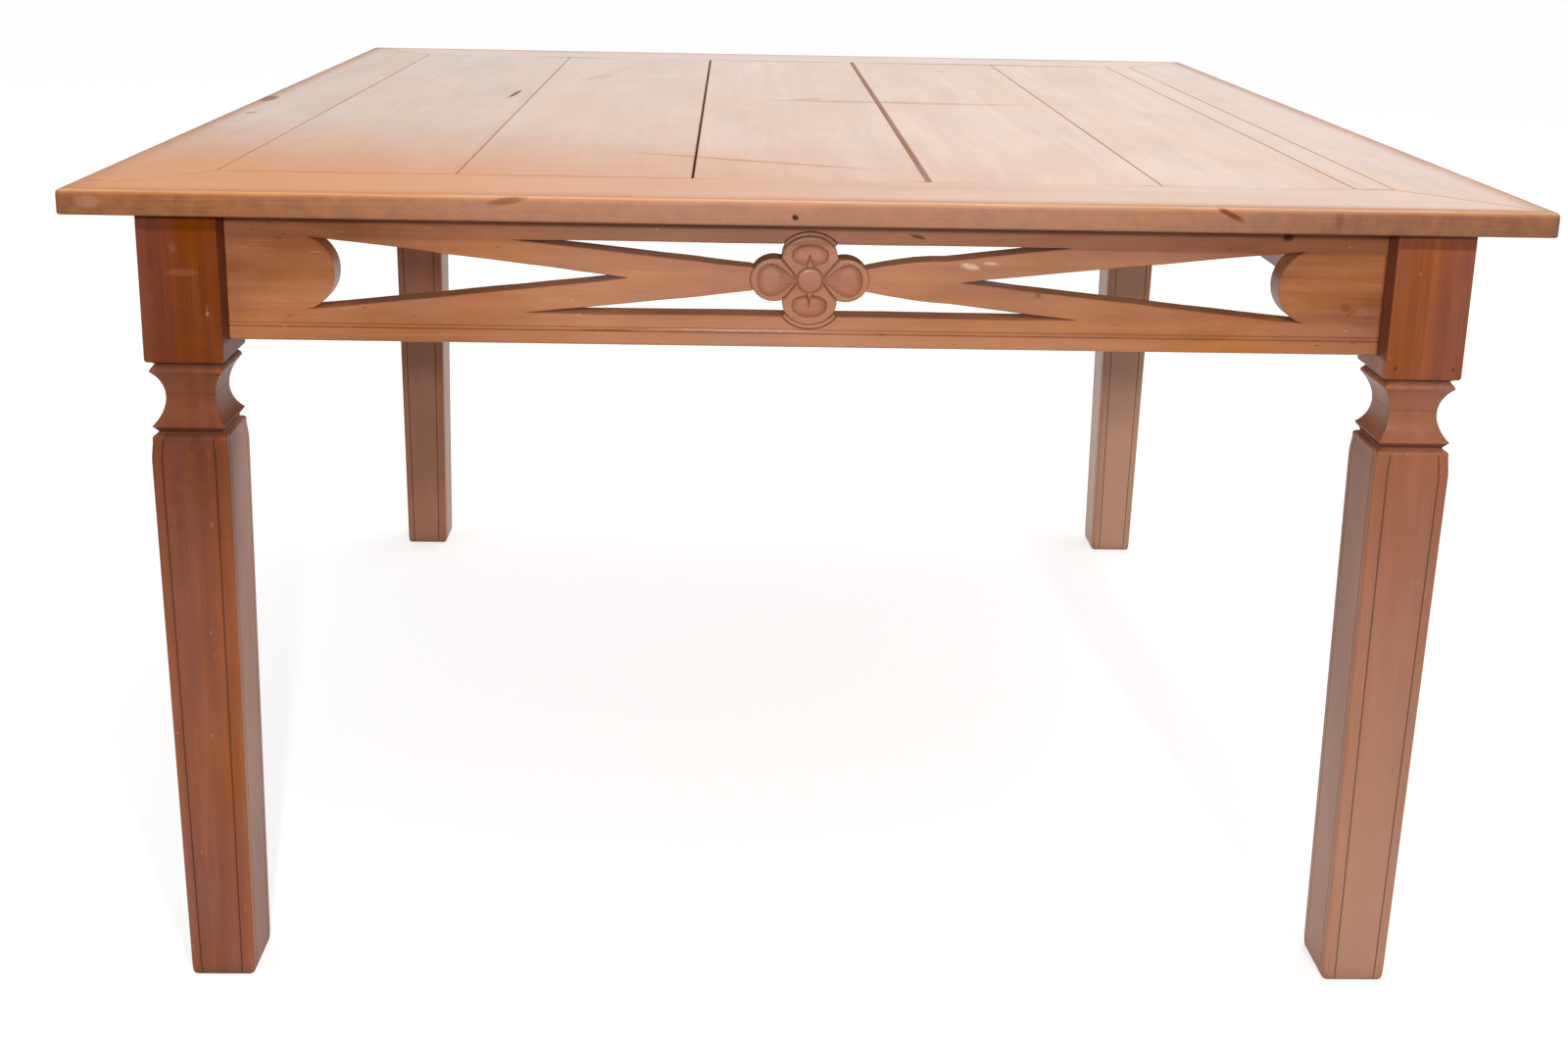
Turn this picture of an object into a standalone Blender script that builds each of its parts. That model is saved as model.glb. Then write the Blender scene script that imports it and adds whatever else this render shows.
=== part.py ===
"""Square dining table with a framed board top, four square turned legs and pierced, carved aprons.

Metres, Z up. The origin is on the floor under the middle of the top, and the front faces -Y.
"""

from math import acos, cos, pi, sin, sqrt

import bmesh
import bpy
from mathutils import Matrix, Vector

# Overall size
TABLE_HEIGHT = 0.780
TOP_WIDTH = 1.270
TOP_LENGTH = 1.270
TOP_THICKNESS = 0.022

# Clearance between pieces that touch
FIT = 0.0003

# How far a cutter runs past the face that it cuts
PAST = 0.004

# Border of the top and the loose splines in its mitres
SIDE_BORDER = 0.104
END_BORDER = 0.104
EDGE_RADIUS = 0.006
SPLINE_LENGTH = 0.090
SPLINE_WIDTH = 0.022
SPLINE_THICKNESS = 0.006

# Boards inside the border, tongued into it and into each other
BOARD_COUNT = 5
STRIP_WIDTH = 0.036
HAIR_GAP = 0.0007
OPEN_GAP = 0.0025
TONGUE_THICKNESS = 0.007
TONGUE_REACH = 0.009

# Legs
SIDE_OVERHANG = 0.048
END_OVERHANG = 0.048
LEG_BLOCK = 0.070
LEG_BLOCK_HEIGHT = 0.1415
NECK_HEIGHT = 0.067
NECK_GROOVE = 0.056
NECK_GROOVE_HEIGHT = 0.0055
NECK_LIP = 0.064
NECK_LIP_HEIGHT = 0.0045
NECK_WAIST = 0.044
SHOULDER = 0.066
SHOULDER_ROUND = 0.004
SWELL = 0.069
SWELL_DROP = 0.024
FOOT = 0.060
FOOT_ROUND = 0.003

# Lines cut along the faces of the lower leg
LINE_INSET = 0.010
LINE_DEPTH = 0.0016
LINE_DROP = 0.018

# Aprons and their tenons
APRON_THICKNESS = 0.025
APRON_HEIGHT = 0.125
TOP_RAIL = 0.0295
BOTTOM_RAIL = 0.029
BEAD_RISE = 0.0147
BEAD_DEPTH = 0.002
TENON_THICKNESS = 0.012
TENON_SHOULDER = 0.014
TENON_WALL = 0.002

# Openings of the aprons, measured from the middle of the flower, hand cut and wider on one side
LOBE_INSET = 0.071
LOBE_BULGE = 0.023
STRAP_NECK = 0.0215
END_FORK_LEFT = 0.161
END_FORK_RIGHT = 0.135
END_TIP_LEFT = 0.259
END_TIP_RIGHT = 0.238
SIDE_FORK_LEFT = 0.161
SIDE_FORK_RIGHT = 0.135
SIDE_TIP_LEFT = 0.259
SIDE_TIP_RIGHT = 0.238

# Carved flower
SIDE_PETAL_REACH = 0.053
SIDE_PETAL_LENGTH = 0.042
SIDE_PETAL_WIDTH = 0.039
UPRIGHT_PETAL_REACH = 0.040
UPRIGHT_PETAL_LENGTH = 0.041
UPRIGHT_PETAL_WIDTH = 0.050
PETAL_RIM = 0.005
DISH_DEPTH = 0.005
BOSS_RADIUS = 0.0105
RING_DEPTH = 0.0016

# Bearers under the boards, let into the side aprons, measured from the legs' inner faces
BEARER_INSET = 0.3275
BEARER_WIDTH = 0.045
BEARER_HEIGHT = 0.022
BEARER_HOUSING = 0.012

# Blocks behind the legs
CORNER_BLOCK = 0.080
CORNER_BLOCK_HEIGHT = 0.050
CORNER_BLOCK_DROP = 0.020
CORNER_SCREW_LENGTH = 0.048

# Wooden buttons that hold the top to the aprons, measured from the legs' inner faces
END_BUTTON_INSET = 0.217
SIDE_BUTTON_INSET = 0.1825
BUTTON_LENGTH = 0.040
BUTTON_REACH = 0.036
BUTTON_HEIGHT = 0.020
BUTTON_TONGUE = 0.008
BUTTON_TONGUE_HEIGHT = 0.008
BUTTON_TONGUE_DROP = 0.010
BUTTON_SCREW_LENGTH = 0.032

# Countersunk screws
SCREW_HEAD_RADIUS = 0.0045
SCREW_HEAD_HEIGHT = 0.003
SCREW_RADIUS = 0.0022
SCREW_POINT = 0.004

# Values that follow from the sizes
UNDERSIDE = TABLE_HEIGHT - TOP_THICKNESS
TOP_MIDDLE = TABLE_HEIGHT - TOP_THICKNESS / 2
LEG_X = TOP_WIDTH / 2 - SIDE_OVERHANG - LEG_BLOCK / 2
LEG_Y = TOP_LENGTH / 2 - END_OVERHANG - LEG_BLOCK / 2
SEAT_Z = UNDERSIDE - FIT
OPENING_HALF = (APRON_HEIGHT - TOP_RAIL - BOTTOM_RAIL) / 2
APRON_TOP = OPENING_HALF + TOP_RAIL
APRON_BOTTOM = -OPENING_HALF - BOTTOM_RAIL
FLOWER_Z = SEAT_Z - APRON_TOP
TENON_LENGTH = (LEG_BLOCK - TENON_THICKNESS) / 2 - TENON_WALL
INNER_X = LEG_X - APRON_THICKNESS / 2
INNER_Y = LEG_Y - APRON_THICKNESS / 2
UP = Vector((0, 0, 1))

for old in list(bpy.data.objects):
    bpy.data.objects.remove(old)

PARTS = bpy.data.collections.new("dining_table")
CUTTERS = bpy.data.collections.new("dining_table_cutters")
bpy.context.scene.collection.children.link(PARTS)
bpy.context.scene.collection.children.link(CUTTERS)
ROOT = bpy.data.objects.new("dining_table_root", None)
PARTS.objects.link(ROOT)


def material(name, colour, roughness, metallic=0.0):
    made = bpy.data.materials.new(name)
    made.use_nodes = True
    shader = made.node_tree.nodes["Principled BSDF"]
    shader.inputs["Base Color"].default_value = (*colour, 1.0)
    shader.inputs["Roughness"].default_value = roughness
    shader.inputs["Metallic"].default_value = metallic
    return made


TOP_WOOD = material("top_wood", (0.60, 0.33, 0.19), 0.45)
APRON_WOOD = material("apron_wood", (0.38, 0.15, 0.06), 0.42)
LEG_WOOD = material("leg_wood", (0.25, 0.08, 0.03), 0.40)
HIDDEN_WOOD = material("hidden_wood", (0.42, 0.24, 0.12), 0.65)
STEEL = material("screw_steel", (0.55, 0.55, 0.53), 0.35, 1.0)


def frame(origin, x_axis, y_axis):
    """Placement with its origin and its X and Y axes at the given ones."""
    x = Vector(x_axis).normalized()
    y = Vector(y_axis).normalized()
    made = Matrix((x, y, x.cross(y))).transposed().to_4x4()
    made.translation = origin
    return made


def add_part(name, mesh, at, wood):
    part = bpy.data.objects.new(name, mesh)
    PARTS.objects.link(part)
    part.parent = ROOT
    part.matrix_world = at
    mesh.materials.append(wood)
    return part


def add_cutter(name, mesh, at):
    cutter = bpy.data.objects.new(name, mesh)
    CUTTERS.objects.link(cutter)
    cutter.matrix_world = at
    cutter.hide_render = True
    cutter.display_type = "WIRE"
    return cutter


def combine(part, cutter, operation="DIFFERENCE"):
    boolean = part.modifiers.new(cutter.name, "BOOLEAN")
    boolean.operation = operation
    boolean.object = cutter


def box_mesh(name, boxes):
    """Mesh of separate boxes, each given by its low and high corner."""
    bm = bmesh.new()
    for low, high in boxes:
        low, high = Vector(low), Vector(high)
        size = Matrix.Diagonal((*(high - low), 1.0))
        bmesh.ops.create_cube(bm, size=1.0, matrix=Matrix.Translation((low + high) / 2) @ size)
    mesh = bpy.data.meshes.new(name)
    bm.to_mesh(mesh)
    bm.free()
    return mesh


def outline_mesh(name, outlines, half_depth):
    """Mesh of flat outlines drawn in X and Y, with the given depth either side of the plane."""
    bm = bmesh.new()
    for outline in outlines:
        low = [bm.verts.new((x, y, -half_depth)) for x, y in outline]
        high = [bm.verts.new((x, y, half_depth)) for x, y in outline]
        bm.faces.new(low)
        bm.faces.new(high)
        for i in range(len(outline)):
            bm.faces.new((low[i - 1], low[i], high[i], high[i - 1]))
    bmesh.ops.recalc_face_normals(bm, faces=bm.faces)
    mesh = bpy.data.meshes.new(name)
    bm.to_mesh(mesh)
    bm.free()
    return mesh


def profile_mesh(name, points, closed=False):
    """Profile of radius and height, from the top down, for a Screw modifier."""
    mesh = bpy.data.meshes.new(name)
    links = [(i, i + 1) for i in range(len(points) - 1)]
    if closed:
        links.append((len(points) - 1, 0))
    mesh.from_pydata([(radius, 0.0, z) for radius, z in points], links, [])
    return mesh


def turn(piece, steps):
    screw = piece.modifiers.new("turned", "SCREW")
    screw.steps = steps
    screw.render_steps = steps
    screw.use_merge_vertices = True
    screw.merge_threshold = 0.00001
    screw.use_smooth_shade = steps > 4


def arc(centre, radius, start, stop, steps):
    angles = [start + (stop - start) * i / steps for i in range(steps + 1)]
    return [(centre[0] + radius * cos(a), centre[1] + radius * sin(a)) for a in angles]


def screw_points(length, clearance):
    """Profile of a countersunk screw, head at zero and point downward, or of its hole."""
    head = SCREW_HEAD_RADIUS + clearance
    shank = SCREW_RADIUS + clearance
    rise = PAST if clearance else 0.0
    points = [(0.0, rise), (head, rise)]
    if clearance:
        points.append((head, 0.0))
    neck = -SCREW_HEAD_HEIGHT - clearance
    return points + [(shank, neck), (shank, SCREW_POINT - length), (0.0, -length - clearance)]


def add_screw(name, length, at):
    """Screw with its head at the placement's origin, and the cutter of its hole."""
    screw = add_part(name, profile_mesh(name, screw_points(length, 0.0)), at, STEEL)
    turn(screw, 12)
    hole = add_cutter(name + "_hole", profile_mesh(name + "_hole", screw_points(length, FIT)), at)
    turn(hole, 12)
    return hole


def board_section(low, high, left_tongue):
    """Section of a board across the grain, with a tongue on its right side."""
    half = TOP_THICKNESS / 2
    tongue = TONGUE_THICKNESS / 2
    right = [(high, -half), (high, -tongue), (high + TONGUE_REACH, -tongue)]
    right += [(high + TONGUE_REACH, tongue), (high, tongue), (high, half)]
    if left_tongue:
        side, deep = tongue, low - TONGUE_REACH
    else:
        side, deep = tongue + FIT, low + TONGUE_REACH
    left = [(low, half), (low, side), (deep, side), (deep, -side), (low, -side), (low, -half)]
    return right + left


def border_section(width):
    """Section of a border board from its grooved inner edge outward."""
    half = TOP_THICKNESS / 2
    groove = TONGUE_THICKNESS / 2 + FIT
    deep = TONGUE_REACH + FIT
    flat = width - EDGE_RADIUS
    level = half - EDGE_RADIUS
    lower = arc((flat, -level), EDGE_RADIUS, -pi / 2, 0.0, 4)
    upper = arc((flat, level), EDGE_RADIUS, 0.0, pi / 2, 4)
    inner = [(0.0, half), (0.0, groove), (deep, groove), (deep, -groove), (0.0, -groove), (0.0, -half)]
    return lower + upper + inner


def add_boards():
    """Boards of the top from left to right, as (object, footprint)."""
    left = SIDE_BORDER - TOP_WIDTH / 2
    right = -left
    pitch = (right - left) / BOARD_COUNT
    joints = [left + i * pitch for i in range(BOARD_COUNT)] + [right - STRIP_WIDTH, right]
    middle = BOARD_COUNT // 2
    gaps = [OPEN_GAP if i in (middle, middle + 1) else HAIR_GAP for i in range(len(joints))]
    shoulder = TOP_LENGTH / 2 - END_BORDER - HAIR_GAP
    end = shoulder + TONGUE_REACH
    at = frame((0, 0, TOP_MIDDLE), (1, 0, 0), UP)
    made = []
    for i in range(len(joints) - 1):
        low = joints[i] + gaps[i] / 2
        high = joints[i + 1] - gaps[i + 1] / 2
        name = f"top_board_{i + 1}" if i < BOARD_COUNT else "top_board_strip"
        mesh = outline_mesh(name, [board_section(low, high, i == 0)], shoulder)
        board = add_part(name, mesh, at, TOP_WOOD)
        inset = TONGUE_REACH + 2 * FIT
        tongue = Vector((high - inset, TONGUE_THICKNESS / 2, end))
        slip = box_mesh(name + "_slip", [((low + inset, -tongue.y, -tongue.z), tongue)])
        combine(board, add_cutter(name + "_slip", slip, at), "UNION")
        made.append((board, (low, high, -end, end)))
    return made


def add_borders():
    """Mitred border of the top with its loose splines, as (object, footprint)."""
    half_x, half_y = TOP_WIDTH / 2, TOP_LENGTH / 2
    slots = {}
    for x_name, x in (("left", -1), ("right", 1)):
        for y_name, y in (("front", -1), ("back", 1)):
            along = Vector((-x * SIDE_BORDER, -y * END_BORDER, 0.0))
            middle = Vector((x * half_x, y * half_y, TOP_MIDDLE)) + along / 2
            at = frame(middle, along, UP.cross(along))
            name = f"mitre_spline_{y_name}_{x_name}"
            size = Vector((SPLINE_LENGTH, SPLINE_WIDTH, SPLINE_THICKNESS)) / 2
            add_part(name, box_mesh(name, [(-size, size)]), at, HIDDEN_WOOD)
            room = size + Vector((FIT, FIT, FIT))
            slots[x, y] = add_cutter(name + "_slot", box_mesh(name + "_slot", [(-room, room)]), at)
    made = []
    for name, out in (("front", (0, -1)), ("back", (0, 1)), ("left", (-1, 0)), ("right", (1, 0))):
        across = out[0] != 0
        width, reach = (SIDE_BORDER, half_x) if across else (END_BORDER, half_y)
        length = half_y if across else half_x
        inner = Vector((out[0], out[1], 0)) * (reach - width)
        at = frame(inner + UP * TOP_MIDDLE, (out[0], out[1], 0), UP)
        mesh = outline_mesh("top_border_" + name, [border_section(width)], length)
        border = add_part("top_border_" + name, mesh, at, TOP_WOOD)
        waste = []
        corners = []
        for side in (-1, 1):
            x, y = (out[0], side) if across else (side, out[1])
            corners.append((x, y))
            corner = Vector((x * half_x, y * half_y))
            inside = corner - Vector((x * SIDE_BORDER, y * END_BORDER))
            away = Vector((0, y)) if across else Vector((x, 0))
            cut = [corner * 2 - inside - away * FIT / 2, inside * 2 - corner - away * FIT / 2]
            far = away * (SIDE_BORDER + END_BORDER) * 2
            waste.append([cut[0], cut[1], cut[1] + far, cut[0] + far])
        mesh = outline_mesh("top_border_" + name + "_mitres", waste, TOP_THICKNESS)
        combine(border, add_cutter(mesh.name, mesh, Matrix.Translation(UP * TOP_MIDDLE)))
        for corner in corners:
            combine(border, slots[corner])
        if across:
            low, high = sorted((out[0] * half_x, out[0] * (half_x - width)))
            made.append((border, (low, high, -half_y, half_y)))
        else:
            low, high = sorted((out[1] * half_y, out[1] * (half_y - width)))
            made.append((border, (-half_x, half_x, low, high)))
    return made


def leg_points():
    """Profile of the leg from the top down, as widths across the flats turned into corner radii."""
    block_z = UNDERSIDE - LEG_BLOCK_HEIGHT
    shoulder_z = block_z - NECK_HEIGHT
    upper = block_z - NECK_GROOVE_HEIGHT - NECK_LIP_HEIGHT
    lower = shoulder_z + NECK_GROOVE_HEIGHT + NECK_LIP_HEIGHT
    sag = (NECK_LIP - NECK_WAIST) / 2
    half = (upper - lower) / 2
    radius = (half * half + sag * sag) / (2 * sag)
    swing = acos((radius - sag) / radius)
    waist = arc((NECK_WAIST / 2 + radius, (upper + lower) / 2), radius, pi - swing, pi + swing, 8)
    points = [(0.0, SEAT_Z), (LEG_BLOCK, SEAT_Z), (LEG_BLOCK, block_z)]
    points += [(NECK_GROOVE, block_z - NECK_GROOVE_HEIGHT / 2), (NECK_LIP, block_z - NECK_GROOVE_HEIGHT)]
    points += [(2 * x, z) for x, z in waist]
    points += [(NECK_LIP, shoulder_z + NECK_GROOVE_HEIGHT), (NECK_GROOVE, shoulder_z + NECK_GROOVE_HEIGHT / 2)]
    points += [(SHOULDER - SHOULDER_ROUND, shoulder_z), (SHOULDER, shoulder_z - SHOULDER_ROUND)]
    points += [(SWELL, shoulder_z - SWELL_DROP), (FOOT, FOOT_ROUND)]
    points += [(FOOT - 2 * FOOT_ROUND, 0.0), (0.0, 0.0)]
    return [(width / sqrt(2), z) for width, z in points]


def leg_line_mesh(name):
    """Diamond bars that cut the lines along the four faces of the lower leg."""
    shoulder_z = UNDERSIDE - LEG_BLOCK_HEIGHT - NECK_HEIGHT
    slope = (SWELL - FOOT) / 2 / (shoulder_z - SWELL_DROP - FOOT_ROUND)
    start_z, stop_z = shoulder_z - LINE_DROP, -PAST
    start = FOOT / 2 + slope * (start_z - FOOT_ROUND)
    stop = FOOT / 2 + slope * (stop_z - FOOT_ROUND)
    side = LINE_DEPTH * sqrt(2)
    bm = bmesh.new()
    for face in range(4):
        turned = Matrix.Rotation(face * pi / 2, 4, "Z")
        for edge in (-1, 1):
            head = turned @ Vector((start, edge * (start - LINE_INSET), start_z))
            tail = turned @ Vector((stop, edge * (stop - LINE_INSET), stop_z))
            along = head - tail
            across = along.cross(turned @ Vector((1, 0, 0)))
            at = frame((head + tail) / 2, across.cross(along), across)
            bar = Matrix.Rotation(pi / 4, 4, "Z") @ Matrix.Diagonal((side, side, along.length, 1.0))
            bmesh.ops.create_cube(bm, size=1.0, matrix=at @ bar)
    mesh = bpy.data.meshes.new(name)
    bm.to_mesh(mesh)
    bm.free()
    return mesh


def add_leg(name, x, y):
    """Leg with its two mortises and the lines on its lower part."""
    centre = Vector((x * LEG_X, y * LEG_Y, 0.0))
    at = Matrix.Translation(centre) @ Matrix.Rotation(pi / 4, 4, "Z")
    leg = add_part(name, profile_mesh(name, leg_points()), at, LEG_WOOD)
    turn(leg, 4)
    lines = add_cutter(name + "_lines", leg_line_mesh(name + "_lines"), Matrix.Translation(centre))
    combine(leg, lines)
    low_z = FLOWER_Z + APRON_BOTTOM + TENON_SHOULDER - FIT
    high_z = FLOWER_Z + APRON_TOP - TENON_SHOULDER + FIT
    side = TENON_THICKNESS / 2 + FIT
    bottom = LEG_BLOCK / 2 - TENON_LENGTH - FIT
    mouth = LEG_BLOCK / 2 + PAST
    x_low, x_high = sorted((-x * bottom, -x * mouth))
    y_low, y_high = sorted((-y * bottom, -y * mouth))
    mortises = [((x_low, -side, low_z), (x_high, side, high_z))]
    mortises.append(((-side, y_low, low_z), (side, y_high, high_z)))
    cutter = add_cutter(name + "_mortises", box_mesh(name + "_mortises", mortises), Matrix.Translation(centre))
    combine(leg, cutter)
    return leg


def ellipse(centre, half, start, stop, steps):
    return [(centre[0] + half[0] * x, centre[1] + half[1] * y) for x, y in arc((0, 0), 1.0, start, stop, steps)]


def inside(point, centre, half):
    return ((point[0] - centre[0]) / half[0]) ** 2 + ((point[1] - centre[1]) / half[1]) ** 2 < 1.0


def thin_opening(tip):
    """Opening between rail and strap beside the flower, in the upper right quarter."""
    side = (SIDE_PETAL_REACH - SIDE_PETAL_LENGTH / 2, 0.0)
    side_half = (SIDE_PETAL_LENGTH / 2, SIDE_PETAL_WIDTH / 2)
    upright = (0.0, UPRIGHT_PETAL_REACH - UPRIGHT_PETAL_LENGTH / 2)
    upright_half = (UPRIGHT_PETAL_WIDTH / 2, UPRIGHT_PETAL_LENGTH / 2)
    slope = (OPENING_HALF - STRAP_NECK / 2) / (tip - SIDE_PETAL_REACH)
    points = [(tip, OPENING_HALF)]
    for point in ellipse(upright, upright_half, pi / 2, -pi / 6, 40)[::2]:
        if point[1] < OPENING_HALF and not inside(point, side, side_half):
            points.append(point)
    for point in ellipse(side, side_half, pi, 0.0, 40)[::2]:
        strap = STRAP_NECK / 2 + slope * (point[0] - SIDE_PETAL_REACH)
        if point[1] > strap and not inside(point, upright, upright_half):
            points.append(point)
    rise = sqrt(1.0 - ((OPENING_HALF - upright[1]) / upright_half[1]) ** 2)
    points.insert(1, (upright_half[0] * rise, OPENING_HALF))
    return points


def side_opening(half_length, fork):
    """Long opening from the fork of the straps to the lobe by the right leg."""
    chord = half_length - LOBE_INSET
    radius = (OPENING_HALF**2 + LOBE_BULGE**2) / (2 * LOBE_BULGE)
    swing = acos((radius - LOBE_BULGE) / radius)
    lobe = arc((chord - LOBE_BULGE + radius, 0.0), radius, pi - swing, pi + swing, 10)
    return [(fork, 0.0)] + lobe


def carving_mesh(name):
    """Dishes of the four petals, cut into the face of the flower."""
    face = APRON_THICKNESS / 2
    ring = BOSS_RADIUS + 2 * RING_DEPTH
    petals = [
        (Vector((1, 0, 0)), SIDE_PETAL_REACH, SIDE_PETAL_WIDTH),
        (Vector((0, 1, 0)), UPRIGHT_PETAL_REACH, UPRIGHT_PETAL_WIDTH),
    ]
    bm = bmesh.new()
    for along, reach, width in petals:
        inner, outer = ring + RING_DEPTH, reach - PETAL_RIM
        half = (outer - inner) / 2
        wide = width / 2 - PETAL_RIM
        size = along * half + Vector((along.y, along.x, 0.0)) * wide + UP * DISH_DEPTH
        for side in (-1, 1):
            centre = along * side * (inner + half) + UP * face
            at = Matrix.Translation(centre) @ Matrix.Diagonal((*size, 1.0))
            bmesh.ops.create_uvsphere(bm, u_segments=16, v_segments=8, radius=1.0, matrix=at)
    mesh = bpy.data.meshes.new(name)
    bm.to_mesh(mesh)
    bm.free()
    return mesh


def add_apron(name, out, half_length, forks, tips, reach):
    """Apron board between two legs, with its face toward the given side."""
    along = UP.cross(Vector(out))
    at = frame(Vector(out) * reach + UP * FLOWER_Z, along, UP)
    half = APRON_THICKNESS / 2
    end = half_length - FIT
    mesh = box_mesh(name, [((-end, APRON_BOTTOM, -half), (end, APRON_TOP, half))])
    apron = add_part(name, mesh, at, APRON_WOOD)
    low_y, high_y = APRON_BOTTOM + TENON_SHOULDER, APRON_TOP - TENON_SHOULDER
    tenons = []
    for side in (-1, 1):
        low_x, high_x = sorted((side * (end - TENON_LENGTH), side * (half_length + TENON_LENGTH)))
        tenons.append(((low_x, low_y, -TENON_THICKNESS / 2), (high_x, high_y, TENON_THICKNESS / 2)))
    combine(apron, add_cutter(name + "_tenons", box_mesh(name + "_tenons", tenons), at), "UNION")
    outlines = []
    for x, fork, tip in zip((-1, 1), forks, tips):
        outlines.append([(x * u, v) for u, v in side_opening(half_length, fork)])
        for y in (-1, 1):
            outlines.append([(x * u, y * v) for u, v in thin_opening(tip)])
    mesh = outline_mesh(name + "_openings", outlines, half + PAST)
    combine(apron, add_cutter(name + "_openings", mesh, at))
    combine(apron, add_cutter(name + "_carving", carving_mesh(name + "_carving"), at))
    ring_radius = BOSS_RADIUS + RING_DEPTH
    ring = [(ring_radius, RING_DEPTH), (ring_radius + RING_DEPTH, 0.0)]
    ring += [(ring_radius, -RING_DEPTH), (BOSS_RADIUS, 0.0)]
    face = at @ Matrix.Translation(UP * half)
    groove = add_cutter(name + "_ring", profile_mesh(name + "_ring", ring, closed=True), face)
    turn(groove, 24)
    combine(apron, groove)
    bar = Matrix.Rotation(pi / 4, 4, "X")
    side = BEAD_DEPTH / sqrt(2)
    size = Vector((half_length + PAST, side, side))
    bead = at @ Matrix.Translation((0.0, APRON_BOTTOM + BEAD_RISE, half)) @ bar
    combine(apron, add_cutter(name + "_bead", box_mesh(name + "_bead", [(-size, size)]), bead))
    return apron


def add_bearer(name, y, left_apron, right_apron):
    """Cross bearer under the boards, with its ends let into the side aprons."""
    end = INNER_X + BEARER_HOUSING
    low_y, high_y = y - BEARER_WIDTH / 2, y + BEARER_WIDTH / 2
    low_z = SEAT_Z - BEARER_HEIGHT
    mesh = box_mesh(name, [((-end, low_y, low_z), (end, high_y, SEAT_Z))])
    add_part(name, mesh, Matrix(), HIDDEN_WOOD)
    low, high = (low_y - FIT, low_z - FIT), (high_y + FIT, UNDERSIDE + PAST)
    for x, apron in ((-1, left_apron), (1, right_apron)):
        low_x, high_x = sorted((x * (INNER_X - PAST), x * (end + FIT)))
        housing = box_mesh(f"{apron.name}_{name}_housing", [((low_x, *low), (high_x, *high))])
        combine(apron, add_cutter(housing.name, housing, Matrix()))


def add_corner_block(name, x, y, leg):
    """Block glued behind a leg between two aprons, with its screw into the leg."""
    middle = SEAT_Z - CORNER_BLOCK_DROP - CORNER_BLOCK_HEIGHT / 2
    at = frame((x * INNER_X, y * INNER_Y, middle), (-x, 0, 0), (0, -y, 0))
    notch = LEG_BLOCK / 2 - APRON_THICKNESS / 2 + FIT
    outline = [(notch, FIT), (CORNER_BLOCK, FIT), (FIT, CORNER_BLOCK), (FIT, notch), (notch, notch)]
    mesh = outline_mesh(name, [outline], CORNER_BLOCK_HEIGHT / 2)
    block = add_part(name, mesh, at, HIDDEN_WOOD)
    head = (CORNER_BLOCK + FIT) / 2
    outward = Vector((-x, -y, 0.0))
    screw_at = frame(at @ Vector((head, head, 0.0)), UP, outward.cross(UP))
    hole = add_screw(name.replace("block", "screw"), CORNER_SCREW_LENGTH, screw_at)
    combine(block, hole)
    combine(leg, hole)


def add_button(name, out, reach, offset, apron, top_pieces):
    """Button with its tongue in the apron's slot, and its screw up into the top."""
    inward = -Vector(out)
    along = inward.cross(UP)
    at = frame(Vector(out) * reach + along * offset + UP * UNDERSIDE, inward, UP)
    low, high = -BUTTON_TONGUE_DROP - BUTTON_TONGUE_HEIGHT, -BUTTON_TONGUE_DROP
    outline = [(FIT, -BUTTON_HEIGHT), (BUTTON_REACH, -BUTTON_HEIGHT), (BUTTON_REACH, -FIT), (FIT, -FIT)]
    outline += [(FIT, high), (-BUTTON_TONGUE, high), (-BUTTON_TONGUE, low), (FIT, low)]
    button = add_part(name, outline_mesh(name, [outline], BUTTON_LENGTH / 2), at, HIDDEN_WOOD)
    side = BUTTON_LENGTH / 2 + FIT
    slot = [((-BUTTON_TONGUE - FIT, low - FIT, -side), (PAST, high + FIT, side))]
    combine(apron, add_cutter(name + "_slot", box_mesh(name + "_slot", slot), at))
    head = at @ Vector((BUTTON_REACH / 2, -BUTTON_HEIGHT, 0.0))
    hole = add_screw(name.replace("button", "button_screw"), BUTTON_SCREW_LENGTH, frame(head, (1, 0, 0), (0, -1, 0)))
    combine(button, hole)
    room = SCREW_RADIUS + FIT
    for piece, (low_x, high_x, low_y, high_y) in top_pieces:
        if low_x - room < head.x < high_x + room and low_y - room < head.y < high_y + room:
            combine(piece, hole)


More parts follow.
